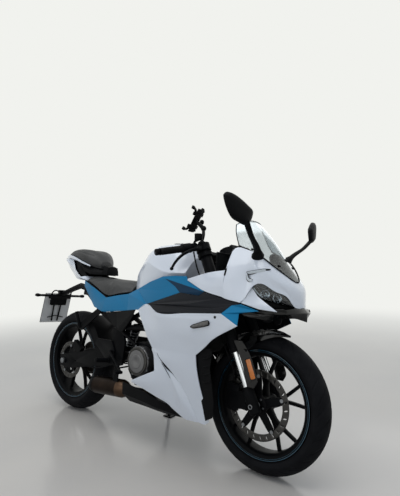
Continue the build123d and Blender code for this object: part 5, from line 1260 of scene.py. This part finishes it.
def slotted_disc(name, axle, outer, ring, plane, hub_r, inner_y, node, body, count):
    """A brake disc: a ring of equal sectors, each drawn between its slot's edge and its own border,
    on a black five-armed carrier with bright bobbins."""
    inner = outer - ring
    middle, reach = (outer + inner) / 2, ring / 2
    half_turn = pi / count
    psi = round_angles(32) + pi / 4
    c, s = np.cos(psi), np.sin(psi)
    border = np.stack([c, s], 1) / np.maximum(np.abs(c), np.abs(s))[:, None]
    tilt = 0.35
    hole = np.stack([ring * 0.30 * c, (2.6 * s + tilt * ring * 0.30 * c) / middle], 1)
    frame_edge = np.stack([reach * border[:, 0], half_turn * border[:, 1]], 1)
    rows = np.stack([hole + (frame_edge - hole) * k for k in (0, 0.4, 1)])
    sectors = []
    for k in range(count):
        r = middle + rows[..., 0]
        a = rows[..., 1] + 2 * half_turn * k
        points = np.stack([axle[0] + r * np.cos(a), np.full_like(r, plane - DISC / 2),
                axle[2] + r * np.sin(a)], -1)
        verts, quads = weave(points, loop_v=True)
        normal = np.cross(verts[quads[0, 1]] - verts[quads[0, 0]], verts[quads[0, 2]] - verts[quads[0, 1]])
        sectors.append((verts, quads if normal[1] < 0 else quads[:, ::-1]))
    piece(name, sectors, "ground_disc_steel", node, body=body, wall=DISC)
    outline = []
    for k in range(5):
        for r, d in ((hub_r + 8, -25), (inner - 10, -8), (inner + 7, -5), (inner + 7, 5), (inner - 10, 8),
                (hub_r + 8, 25)):
            a = radians(18 + 72 * k + d)
            outline.append((axle[0] + r * cos(a), axle[2] + r * sin(a)))
    low, high = sorted((plane - 3.2, plane + 3.2))
    boss = turned([(plane - 7, 18), (plane - 7, hub_r), (plane - 3, hub_r + 6), (inner_y, hub_r + 4),
            (inner_y, 18)], axle, (0, 1, 0), 48)
    piece(name + "_carrier", [slab(outline, low, high), boss], ENAMEL, body=body, soften=1.2)
    studs = []
    for k in range(5):
        studs += bolt(on_wheel(axle, inner + 1, 18 + 72 * k, plane - 2.8), (0, -1, 0), 5.2, 0.5)
        studs += bolt(on_wheel(axle, hub_r - 6, 54 + 72 * k, plane - 7), (0, -1, 0), 3.6, 2.6)
    piece(name + "_bobbins", studs, "zinc_plated_steel", body=body)


def make_wheels():
    """Rims, tyres and discs of both wheels."""
    cast_wheel("front_rim", FRONT_AXLE, FRONT_RIM, 52, "front_wheel", "front_wheel_body")
    cast_wheel("rear_rim", REAR_AXLE, REAR_RIM, 62, "rear_wheel", "rear_wheel_body")
    tread_tyre("front_tread", FRONT_AXLE, FRONT_R, 55.0, 58.0, FRONT_RIM, 16, "front_tyre",
            "front_wheel_body")
    tread_tyre("rear_tread", REAR_AXLE, REAR_R, 70.0, REAR_CROWN, REAR_RIM, 15, "rear_tyre",
            "rear_wheel_body")
    slotted_disc("front_disc_ring", FRONT_AXLE, 146.0, 29.0, -62.0, 36.0, -52.0, "front_disc",
            "front_wheel_body", 26)
    slotted_disc("rear_disc_ring", REAR_AXLE, 110.0, 26.0, -78.0, 34.0, -62.0, "rear_disc",
            "rear_wheel_body", 20)


# ---- fork and front mudguard
def make_fork():
    """Fork legs: chromed stanchion, cast foot clamped round the axle, dust seal, and the guard outside
    with its amber reflector."""
    tubes, feet, seals, guards, ambers, frames = [], [], [], [], [], []
    for side in (-1, 1):
        at = FRONT_AXLE + np.array((0, side * FORK_HALF, 0))
        tubes.append(turned([(78, 18.3), (238, 18.5)], at, STEER_UP, 40))
        feet.append(turned([(-34, 14), (-34, 20), (-30, 25), (46, 25), (62, 24), (70, 21.5), (80, 21.5),
                (80, 18)], at, STEER_UP, 40))
        for s in (-12, 12):
            feet += bolt(at + STEER_UP * s + np.array((-24.5, side * 8, -4)), (-1, 0, -0.3), 4.5, 4)
        seals.append(turned([(230, 19), (230, 23.5), (238, 25.5), (240, 27.8), (246, 27.8), (247, 27)], at,
                STEER_UP, 40))
        outline = curve([(1262, 556), (1310, 556), (1352, 500), (1378, 440), (1390, 400), (1376, 372),
                (1340, 372), (1318, 450), (1284, 520), (1262, 556)], 4, sharp=(0, 1, 5, 6, 9))[:-1]
        guards.append(slab(outline, *sorted((side * 118.5, side * 124.2))))
        guards.append(slab([(1324, 436), (1362, 448), (1376, 404), (1346, 384), (1334, 400)],
                *sorted((side * 123.5, side * 126.5))))
        lean = np.array((sin(radians(-22)), 0, cos(radians(-22))))
        middle = np.array((1358.0, side * 124.4, 446.0))
        for run, half, wide, out, into in ((46, 4.2, 15, 0, frames), (41, 3.6, 12, 2, ambers)):
            ends = [middle + lean * t + (0, side * out, 0) for t in (-run, 3 - run, run - 3, run)]
            into.append(bar(ends, [half - 1, half, half, half - 1], [wide - 3, wide, wide, wide - 3],
                    power=0.7))
    piece("stanchions", tubes, "hard_chromed_tube", "fork_lowers", body="steering")
    piece("fork_feet", feet, ENAMEL, body="steering", soften=1.0, crease=45)
    piece("fork_seals", seals, "moulded_grip_rubber", body="steering")
    piece("fork_guards", guards + frames, "black_polished_abs", slot="black_plastic", body="steering",
            soften=1.4)
    piece("fork_reflectors", ambers, "amber_prism_lens", body="steering")


def make_mudguard():
    """The front mudguard: an arch over the tyre with a raised spine, flared edges and a pointed nose,
    tied to the fork by two stays."""
    stations = [(150, 50, 12, 34), (132, 64, 13, 46), (116, 68, 14, 60), (100, 68, 17, 66),
            (88, 60, 19, 44), (78, 38, 20, 20), (69, 3, 19, 4)]
    rows = []
    for angle, half, height, drop in stations:
        row = []
        for share, fall, extra in ((-1, 1, 0), (-0.93, 0.5, 0), (-0.62, 0.08, 1), (-0.22, 0, 2), (0, 0, 4),
                (0.22, 0, 2), (0.62, 0.08, 1), (0.93, 0.5, 0), (1, 1, 0)):
            r = FRONT_R + height - drop * fall + extra
            row.append(on_wheel(FRONT_AXLE, r, angle, share * half))
        rows.append(row)
    arch = facing(weave(skin(rows, 7, 5, sharp=(3,), sharp_across=(1, 4, 7))), FRONT_AXLE)
    piece("mudguard_arch", [arch], "black_polished_abs", "front_mudguard", slot="black_plastic",
            body="steering", wall=2.8, soften=0.6)
    stays = []
    for side in (-1, 1):
        root = steer_point(262, side * 84)
        stays.append(bar([root, root * (1, 0.86, 1), root * (1, 0.72, 1)], 7, 12, side=(1, 0, 0)))
        path = curve([on_wheel(FRONT_AXLE, 284, 96, side * 68), on_wheel(FRONT_AXLE, 262, 94, side * 98),
                (1316, side * 121, 524)], 5)
        stays.append(bar(path, (16, 20), 3.2, side=(1, 0, 0)))
    piece("mudguard_stays", stays, ABS, body="steering", crease=45)


# ---- engine, exhaust
def make_engine_covers():
    """Clutch and generator covers: stepped turned castings with a bright rim and a ring of bolts,
    and the ribs and bosses cast on the crankcase."""
    bodies, rims, studs = [], [], []
    for y0, way, x, z, big in ((-120, -1, 706, 392, 79), (120, 1, 760, 380, 74)):
        at, out = (x, y0, z), (0, way, 0)
        deep = 46 if way < 0 else 38
        bodies.append(turned([(0, big - 4), (deep - 8, big - 4), (deep - 4, big - 7), (deep - 3, big - 14),
                (deep, big - 15)], at, out, 72))
        rims.append(turned([(deep - 4, big - 9), (deep + 1, big - 9), (deep + 4, big - 12),
                (deep + 4, big - 20), (deep + 1, big - 22), (deep - 2, big - 22)], at, out, 72))
        bodies.append(turned([(deep - 2, big - 21), (deep + 5, big - 23), (deep + 6, big - 30),
                (deep + 6, 36), (deep + 8, 33), (deep + 8, 12), (deep + 7, 10)], at, out, 72))
        for k in range(8):
            spot = np.array((x, y0 + way * (deep - 9), z)) + np.array((cos(k * pi / 4 + 0.3), 0,
                    sin(k * pi / 4 + 0.3))) * (big - 4)
            studs += bolt(spot, out, 4.2, 4.5)
    piece("case_cover_castings", bodies, "blasted_cover_alloy", "engine_covers", crease=28)
    piece("case_cover_rims", rims, "ground_disc_steel", slot="cover_alloy", crease=28)
    piece("case_cover_bolts", studs, "zinc_plated_steel")
    ribs = [bar([(620, -121, z), (690, -122, z + 6)], 2.2, 3.2) for z in (296, 318, 452)]
    ribs += [bar([(800 + 26 * k, -121.5, 300), (812 + 26 * k, -121.5, 452)], 2.2, 3.0) for k in range(4)]
    ribs += [turned([(0, 17), (9, 16), (11, 12)], (838, -118, 330), (0, -1, 0), 32),
            turned([(0, 12), (8, 11), (9, 8)], (648, -118, 446), (0, -1, 0), 32)]
    fins = [box((120, 2 * 78, 3.2), (878 + 10 * k, 0, 462 + 15 * k), about((0, 1, 0), -16))
            for k in range(6)]
    piece("engine_ribs", both(*ribs) + fins, "grey_cast_alloy", soften=0.8)


def make_exhaust():
    """The short muffler under the engine: dark heat-stained can, brushed brown band and black cap
    with its outlet."""
    rear, front = np.array((330.0, -138, 218)), np.array((598.0, -108, 226))
    axis = unit(front - rear)
    length = np.linalg.norm(front - rear)
    can = turned([(26, 44), (28, 46.4), (200, 46.8), (203, 46.8)], rear, axis, 64)
    band = turned([(200, 46), (201, 47), (226, 47), (length - 20, 38), (length - 4, 27), (length, 25)],
            rear, axis, 64)
    cap = turned([(0, 20), (0, 36), (3, 40), (24, 46.6), (30, 47), (31, 46)], rear, axis, 64)
    mouth = turned([(-0.2, 22), (-0.2, 30), (4, 31), (16, 28), (16, 22)], rear, axis, 48)
    piece("muffler_can", [can], "heat_browned_stainless", "muffler")
    piece("muffler_band", [band], "brushed_titanium")
    stay = slab([(500, 240), (540, 240), (545, 352), (515, 345)], -146, -140)
    piece("muffler_caps", [cap, mouth, stay] + bolt((530, -146, 338), (0, -1, 0), 6, 5),
            "black_powder_coated_steel", soften=0.8)
    softened("belly_cover", ABS, "black_gloss", 2.2, 20)


def make_chain():
    """The roller chain: side plates and rollers at even steps along the closed line round both
    sprockets, which is two arcs joined by their common tangents."""
    rear, front = np.array((0.0, 300.0)), np.array((604.0, 402.0))
    big, small = 98.0, 42.0
    gap = front - rear
    span = np.linalg.norm(gap)
    lie = atan2(gap[1], gap[0])
    lift = asin((big - small) / span)
    above, below = lie + pi / 2 - lift, lie - pi / 2 + lift
    around_rear = np.linspace(above, below + 2 * pi, 60)
    around_front = np.linspace(below, above, 40)
    line = np.concatenate([rear + big * np.stack([np.cos(around_rear), np.sin(around_rear)], 1),
            front + small * np.stack([np.cos(around_front), np.sin(around_front)], 1)])
    closed = np.concatenate([line, line[:1]])
    run = np.concatenate([[0], np.cumsum(np.linalg.norm(np.diff(closed, axis=0), axis=1))])
    count = 2 * round(run[-1] / CHAIN_PITCH / 2)
    marks = np.linspace(0, run[-1], count, endpoint=False)
    spots = np.stack([np.interp(marks, run, closed[:, k]) for k in (0, 1)], 1)
    angle = round_angles(16)
    plate_xz = np.stack([CHAIN_PITCH / 2 * np.sign(np.cos(angle)) * 0.999 + 6.2 * np.cos(angle),
            (4.4 + 1.6 * np.abs(np.cos(angle))) * np.sin(angle)], 1)
    plate = slab(plate_xz, -0.9, 0.9)
    roller = turned([(-5, 4.6), (5, 4.6)], (0, 0, 0), (0, 1, 0), 10)
    pin = turned([(-8.2, 2.4), (8.2, 2.4)], (0, 0, 0), (0, 1, 0), 8)
    ahead = np.roll(spots, -1, 0)
    middle = (spots + ahead) / 2
    tilt = np.degrees(np.arctan2(*(ahead - spots).T[::-1]))
    outer, inner, joints = [], [], []
    for k in range(count):
        turn = about((0, 1, 0), -tilt[k])
        for side in (-1, 1):
            shift = (middle[k, 0], CHAIN_Y + side * (7.2 if k % 2 else 5.2), middle[k, 1])
            (outer if k % 2 else inner).append((turn, shift))
        joints.append((np.eye(3), (spots[k, 0], CHAIN_Y, spots[k, 1])))
    piece("chain_links", [copies(plate, outer), copies(plate, inner), copies(roller, joints),
            copies(pin, joints)], "oiled_chain_steel", "drive_chain")


# ---- bars and controls
BAR_ROOT, BAR_END = np.array((1050.0, 98, 975)), np.array((985.0, 350, 920))
BAR_LENGTH = float(np.linalg.norm(BAR_END - BAR_ROOT))
BAR_WAY = (BAR_END - BAR_ROOT) / BAR_LENGTH


def on_bar(distance):
    return BAR_ROOT + BAR_WAY * distance


def make_controls():
    """Grips with ribs, switch boxes, perches, levers, and the brake fluid cup on the right bar."""
    ribs = []
    for k in range(20):
        ribs += [(131 + k * 5.2, 15.3), (132 + k * 5.2, 16.5), (134.4 + k * 5.2, 16.5),
                (135.4 + k * 5.2, 15.3)]
    rubber_profile = [(128.2, 13), (128.2, 18.5), (131, 18.5)] + ribs[1:] + [(245.6, 16.5), (245.8, 13)]
    grip = turned(rubber_profile, BAR_ROOT, BAR_WAY, 36)
    piece("ribbed_grips", both(grip), "moulded_grip_rubber", "grips", body="steering", crease=50)
    ahead = np.array((1, 0, -0.1)) / hypot(1, 0.1)
    parts = [turned([(78, 20), (80, 23), (101.5, 23), (102.2, 21.8), (103, 23), (124, 23), (127, 20)],
            BAR_ROOT, BAR_WAY, 36), turned([(44, 17), (46, 20), (72, 20), (74, 17)], BAR_ROOT, BAR_WAY, 32),
            bar([on_bar(58) + ahead * 15, on_bar(58) + ahead * 44], 9, 11, side=(0, 0, 1))]
    parts += [box((9, 12, 8), on_bar(92) + (-16, 0, 14)), box((8, 8, 10), on_bar(114) + (-17, 0, 12)),
            box((7, 16, 6), on_bar(104) + (-20, 0, -4))]
    parts += bolt(on_bar(58) + ahead * 40 + (0, 0, 9), (0, 0, 1), 5, 3)
    blade = curve([on_bar(58) + ahead * 42, on_bar(84) + ahead * 52 + (0, 0, 1), on_bar(110) + ahead * 58,
            on_bar(150) + ahead * 64 + (0, 0, -6), on_bar(190) + ahead * 66 + (0, 0, -22),
            on_bar(216) + ahead * 64 + (0, 0, -46), on_bar(226) + ahead * 60 + (0, 0, -66)], 6)
    lever = bar(blade, (8.5, 5.5), (5.5, 4.2), side=(0, 0, 1), power=0.8)
    end = on_bar(228) + ahead * 59 + (0, 0, -72)
    knob = turned([(-8, 2), (-6, 6), (0, 8.2), (6, 6), (8, 2)], end, BAR_WAY, 20)
    piece("switch_boxes_and_levers", both(*parts, lever, knob), ENAMEL, "hand_controls",
            slot="black_plastic", body="steering", soften=1.0, crease=40)
    cup_at = on_bar(58) * (1, -1, 1) + (26, 0, 33)
    cup = turned([(0, 17), (2, 19), (22, 19.4), (22.5, 20), (29, 20), (30, 18.5), (30, 4)], cup_at,
            (0, 0, 1), 36)
    stalk = tube([cup_at - (26, 0, 14), cup_at - (20, 0, 4), cup_at + (0, 0, 2)], 6, 14)
    piece("brake_fluid_cup", [cup, stalk] + bolt(cup_at + (10, 0, 30), (0, 0, 1), 2.2, 1)
            + bolt(cup_at + (-10, 0, 30), (0, 0, 1), 2.2, 1), ABS, body="steering", crease=45)


def make_phone_holder():
    """The phone holder on its ball: a slotted back plate between two jaws, four corner hooks with
    rubber pads, a clamp screw, and the post that stands on the right fork cap."""
    cap = steer_point(762, -FORK_HALF)
    ball = np.array((1022.0, -72, 1066))
    centre = ball + (-56, 0, 44)
    turn = about((0, 1, 0), 29.6)
    local = lambda x, y, z: centre + turn @ np.array((x, y, z), float)
    parts = [turned([(0, 17), (10, 17), (14, 14)], cap, STEER_UP, 32), tube(curve([cap + STEER_UP * 8,
            (cap + ball) / 2 + (4, 0, 4), ball - (0, 0, 6)], 5), 8, 20), tube([ball,
            ball * 0.5 + centre * 0.5, centre], [11, 9, 10], 20)]
    angle = np.linspace(-pi / 2, pi / 2, 13)
    parts.append(turned(np.stack([14 * np.sin(angle), 14 * np.cos(angle)], 1)[1:-1].tolist(), ball,
            (0, 0, 1), 28))
    parts += [box((8, 30, 126), local(1, 0, 0), turn), box((10, 70, 18), local(0, 0, 34), turn),
            box((10, 70, 18), local(0, 0, -34), turn), box((6, 46, 74), local(4, 0, 0), turn)]
    pads = []
    for dy in (-1, 1):
        for dz in (-1, 1):
            arm = [local(0, dy * 20, dz * 40), local(-2, dy * 32, dz * 54), local(-12, dy * 37, dz * 60),
                    local(-24, dy * 37, dz * 61)]
            parts.append(bar(arm, 5, [6, 6, 5, 5], side=(1, 0, 0.2)))
            pads.append(box((15, 9, 17), local(-17, dy * 36, dz * 58), turn))
    parts.append(turned([(0, 6), (3, 13), (14, 13), (16, 10)], local(6, 34, 0), (0.2, 1, 0), 10))
    piece("phone_cradle", parts, ABS, "phone_holder", body="steering", soften=1.4, crease=40)
    piece("phone_pads", pads, "moulded_grip_rubber", body="steering", soften=2.0)


def make_fuel_cap():
    """The flush fuel cap: a bright ring with seven screws round a black lid with its key slot."""
    seat, up = np.array((826.0, 0, 991)), np.array((0.02, 0, 1))
    ring = turned([(0, 30), (0, 47.5), (9, 48), (11.5, 45.5), (12, 33), (10, 31)], seat, up, 64)
    lid = turned([(6, 31.5), (11, 31), (12, 28), (12, 10)], seat, up, 64)
    key = bar([seat + (-9, 0, 12.6), seat + (9, 0, 12.6)], 2.4, 1.6)
    screws = []
    for k in range(7):
        a = 2 * pi * k / 7
        screws += bolt(seat + (39.5 * cos(a), 39.5 * sin(a), 11.4), up, 3.0, 1.0)
    lug = box((16, 26, 9), seat + (47, 0, 8))
    piece("fuel_cap_ring", [ring] + screws + [key], "zinc_plated_steel", "fuel_cap", body="fuel_cap_body")
    piece("fuel_cap_lid", [lid, lug], "black_polished_abs", body="fuel_cap_body", soften=1.0)


def make_shock():
    """The rear shock: a bare spring of even turns round its damper, with a cup at each end."""
    low, high = np.array((446.0, 0, 404)), np.array((505.0, 0, 545))
    axis = unit(high - low)
    length = float(np.linalg.norm(high - low))
    across = basis(axis)
    t = np.linspace(0, 1, 200)
    a = t * 2 * pi * 6.5
    coil = low + axis * (24 + t * (length - 46))[:, None] + 23 * (np.cos(a)[:, None] * across[0]
            + np.sin(a)[:, None] * across[1])
    piece("shock_spring", [tube(coil, 5.4, 10)], "zinc_plated_steel", "rear_shock", crease=60)
    damper = [turned([(2, 12), (12, 14), (14, 29), (20, 29.5), (22, 18), (length - 20, 17),
            (length - 18, 29.5), (length - 12, 29), (length - 10, 14), (length, 12)], low, axis, 40),
            turned([(-17, 15), (17, 15)], low, (0, 1, 0), 30), turned([(-17, 15), (17, 15)], high,
            (0, 1, 0), 30)]
    piece("shock_damper", damper, ENAMEL, slot="steel", crease=40)


# ---- seats
SEAT_SEAMS = {"rider_seat": [[(176, 70), (230, 82), (286, 88), (400, 90), (504, 68), (548, 44)],
        [(400, 91), (404, 110), (400, 128)]], "passenger_seat": [[(-112, 50), (-40, 72), (60, 85),
        (118, 80), (150, 62)], [(60, 84), (62, 0)]]}


def swelled(surface):
    """A closed surface as a stuffed cover: even 5 mm faces, blown up by cloth with pressure inside and no
    gravity, each point moving by no more than SWELL, and not at all where it faces down."""
    points, quads = surface
    pad = placed("cover", mesh_of("cover", row_frame(points), quads))
    scene = bpy.context.scene
    even = pad.modifiers.new("even faces", "REMESH")
    even.mode, even.voxel_size = "VOXEL", 0.005
    pad.data = bpy.data.meshes.new_from_object(pad.evaluated_get(bpy.context.evaluated_depsgraph_get()))
    pad.modifiers.clear()
    rest, faces_down = coords(pad.data), coords(pad.data, "vertex_normals", "vector")[:, 2] < -0.35
    cloth = pad.modifiers.new("filling", "CLOTH")
    cloth.settings.use_pressure, cloth.settings.uniform_pressure_force = True, 4
    cloth.settings.effector_weights.gravity = 0
    for step in range(1, 21):
        scene.frame_set(step)
    blown = coords(pad.evaluated_get(bpy.context.evaluated_depsgraph_get()).data)
    pad.modifiers.clear()
    scene.frame_set(1)
    move = blown - rest
    length = np.linalg.norm(move, axis=1, keepdims=True)
    move *= np.minimum(1, SWELL / 1000 / np.maximum(length, 1e-9)) * ~faces_down[:, None]
    rest = rest + move
    pad.data.vertices.foreach_set("co", rest.astype(np.float32).ravel())
    mesh = pad.data
    bpy.data.objects.remove(pad)
    return mesh


def coords(mesh, what="vertices", key="co"):
    """A mesh's vertex places or directions as an array."""
    values = np.empty(len(mesh.vertices) * 3, np.float32)
    getattr(mesh, what).foreach_get(key, values)
    return values.reshape(-1, 3).astype(float)


def sewn(mesh, seams):
    """Sinks a cover along seams given as (x, y) lines, on both sides of the bike, where it looks up or
    out: the seam's depth times e to the power minus the squared distance over its reach, both in mm."""
    places, looks_to = coords(mesh), coords(mesh, "vertex_normals", "vector")
    flat = places[:, :2] * 1000
    offset = row_frame(np.array([[0.0, 0.0, 850.0]]))[0, :2] * 1000
    near = np.full(len(places), 1e3)
    for seam in seams:
        line = curve([(x, w, 0) for x, w in seam], 6)[:, :2]
        for side in (-1, 1):
            run = line * (1, side) + offset
            for a, b in zip(run[:-1], run[1:]):
                along = np.clip(((flat - a) @ (b - a)) / max((b - a) @ (b - a), 1e-9), 0, 1)
                near = np.minimum(near, np.linalg.norm(flat - a - along[:, None] * (b - a), axis=1))
    sink = SEAM_DEPTH / 1000 * np.exp(-(near / SEAM_REACH) ** 2) * (looks_to[:, 2] > 0.1)
    mesh.vertices.foreach_set("co", (places - looks_to * sink[:, None]).astype(np.float32).ravel())


def make_seats():
    """The two stuffed seats in grained vinyl, with their seams."""
    for node, table in (("rider_seat", RIDER_SEAT), ("passenger_seat", PASSENGER_SEAT)):
        mesh = swelled(lofted(table, 10, 8, sharp_across=(3, 4), shrink=2.5))
        sewn(mesh, SEAT_SEAMS[node])
        seat = dressed(node + "_cover", mesh, "embossed_black_vinyl", node, crease=170, levels=1)


# ---- dash and swingarm ribs
def make_small_parts():
    """The display behind the screen, the inner cowl, the ledges under the seats and the swingarm's ribs."""
    turn = about((0, 1, 0), -28)
    piece("dash_display", [box((16, 148, 62), (1202, 0, 950), turn), box((30, 96, 34), (1219, 0, 942),
            turn), bar([(1212, 0, 942), (1208, 0, 916), (1196, 0, 892)], 26, 5)], ABS, soften=2.5)
    piece("dash_glass", [box((1.6, 132, 50), (1193.4, 0, 954.4), turn)], "smoked_prism_lens")
    edge = np.array([(162, -129, 789), (230, -135, 766), (286, -139, 744), (400, -149, 700),
            (504, -149, 716), (600, -156, 726)], float)
    ledge = facing(weave(np.stack([edge, edge * (1, 0.62, 1) + (0, 0, 3)])), (300, 0, 0))
    piece("seat_ledges", both(ledge), ABS, wall=2.0)
    piece("inner_cowl", both(box((5, 112, 84), (1190, -118, 894))), ABS, soften=2)
    ribs = []
    for line, half in (([(150, -118, 352), (230, -120, 392), (310, -121, 404), (430, -120, 404)], 5),
            ([(150, -118, 330), (240, -120, 300), (330, -121, 302), (430, -120, 330)], 4),
            ([(250, -119.5, 388), (290, -119.5, 306)], 3.5), ([(350, -119.5, 402), (380, -119.5, 312)],
            3.5)):
        ribs.append(bar(curve(line, 6) if len(line) > 2 else line, half, 4, side=(0, 0, 1), power=0.7))
    piece("swingarm_ribs", both(*ribs), ENAMEL, slot="frame_paint", body=body_of("swingarm"))


# ---- operators
class BIKE_OT_stage(bpy.types.Operator):
    """Floor, background, lamps and camera"""
    bl_idname = "bike.stage"
    bl_label = "Stage"

    def execute(self, context):
        make_stage()
        return {"FINISHED"}


class BIKE_OT_castings(bpy.types.Operator):
    """Finishes of the CAD pieces that are shown with softened edges"""
    bl_idname = "bike.castings"
    bl_label = "Frame and castings"

    def execute(self, context):
        make_castings()
        return {"FINISHED"}


class BIKE_OT_body_panels(bpy.types.Operator):
    """The white tank and fairings, the faceted blue and the dark printed panels"""
    bl_idname = "bike.body_panels"
    bl_label = "Body panels"

    def execute(self, context):
        make_tank()
        make_fairings()
        make_tank_panels()
        make_middle_panels()
        make_wedges()
        make_tail_panels()
        return {"FINISHED"}


class BIKE_OT_nose(bpy.types.Operator):
    """Nose, clear screen, headlights, polished beak and mirrors"""
    bl_idname = "bike.nose"
    bl_label = "Nose"

    def execute(self, context):
        make_nose()
        make_screen()
        make_headlights()
        make_beak()
        make_mirrors()
        return {"FINISHED"}


class BIKE_OT_tail(bpy.types.Operator):
    """Tail cowl, tail lamp, plate and rear turn lamps"""
    bl_idname = "bike.tail"
    bl_label = "Tail"

    def execute(self, context):
        make_tail()
        return {"FINISHED"}


class BIKE_OT_wheels(bpy.types.Operator):
    """Cast rims with their tape, grooved tyres and slotted discs"""
    bl_idname = "bike.wheels"
    bl_label = "Wheels"

    def execute(self, context):
        make_wheels()
        return {"FINISHED"}


class BIKE_OT_front_end(bpy.types.Operator):
    """Fork legs with guards and reflectors, and the pointed mudguard"""
    bl_idname = "bike.front_end"
    bl_label = "Front end"

    def execute(self, context):
        make_fork()
        make_mudguard()
        return {"FINISHED"}


class BIKE_OT_drive(bpy.types.Operator):
    """Case covers, ribs and fins, muffler, belly cover and chain"""
    bl_idname = "bike.drive"
    bl_label = "Engine and drive"

    def execute(self, context):
        make_engine_covers()
        make_exhaust()
        make_chain()
        return {"FINISHED"}


class BIKE_OT_controls(bpy.types.Operator):
    """Grips, levers, fluid cup, phone holder, fuel cap and rear shock"""
    bl_idname = "bike.controls"
    bl_label = "Controls"

    def execute(self, context):
        make_controls()
        make_phone_holder()
        make_fuel_cap()
        make_shock()
        return {"FINISHED"}


class BIKE_OT_seats(bpy.types.Operator):
    """The two stuffed vinyl seats with their seams"""
    bl_idname = "bike.seats"
    bl_label = "Seats"

    def execute(self, context):
        make_seats()
        return {"FINISHED"}


class BIKE_OT_small_parts(bpy.types.Operator):
    """The display, the inner cowl, the ledges under the seats and the swingarm's ribs"""
    bl_idname = "bike.small_parts"
    bl_label = "Dash and ribs"

    def execute(self, context):
        make_small_parts()
        return {"FINISHED"}


class BIKE_PT_looks(bpy.types.Panel):
    """The bike's sizes and colours, and the operators that build it"""
    bl_idname = "BIKE_PT_looks"
    bl_label = "Sport bike"
    bl_space_type = "VIEW_3D"
    bl_region_type = "UI"
    bl_category = "Sport bike"

    def draw(self, context):
        for name in BikeLooks.__annotations__:
            self.layout.prop(context.scene.bike_looks, name)
        for operator in MAKERS:
            self.layout.operator(operator.bl_idname)


MAKERS = (BIKE_OT_stage, BIKE_OT_castings, BIKE_OT_body_panels, BIKE_OT_nose, BIKE_OT_tail, BIKE_OT_wheels,
        BIKE_OT_front_end, BIKE_OT_drive, BIKE_OT_controls, BIKE_OT_seats, BIKE_OT_small_parts)


def register():
    for one in (BikeLooks, *MAKERS, BIKE_PT_looks):
        bpy.utils.register_class(one)
    bpy.types.Scene.bike_looks = PointerProperty(type=BikeLooks)


def unregister():
    del bpy.types.Scene.bike_looks
    for one in reversed((BikeLooks, *MAKERS, BIKE_PT_looks)):
        bpy.utils.unregister_class(one)


def main():
    register()
    for operator in MAKERS:
        place, name = operator.bl_idname.split(".")
        getattr(getattr(bpy.ops, place), name)()


if __name__ == "__main__":
    main()
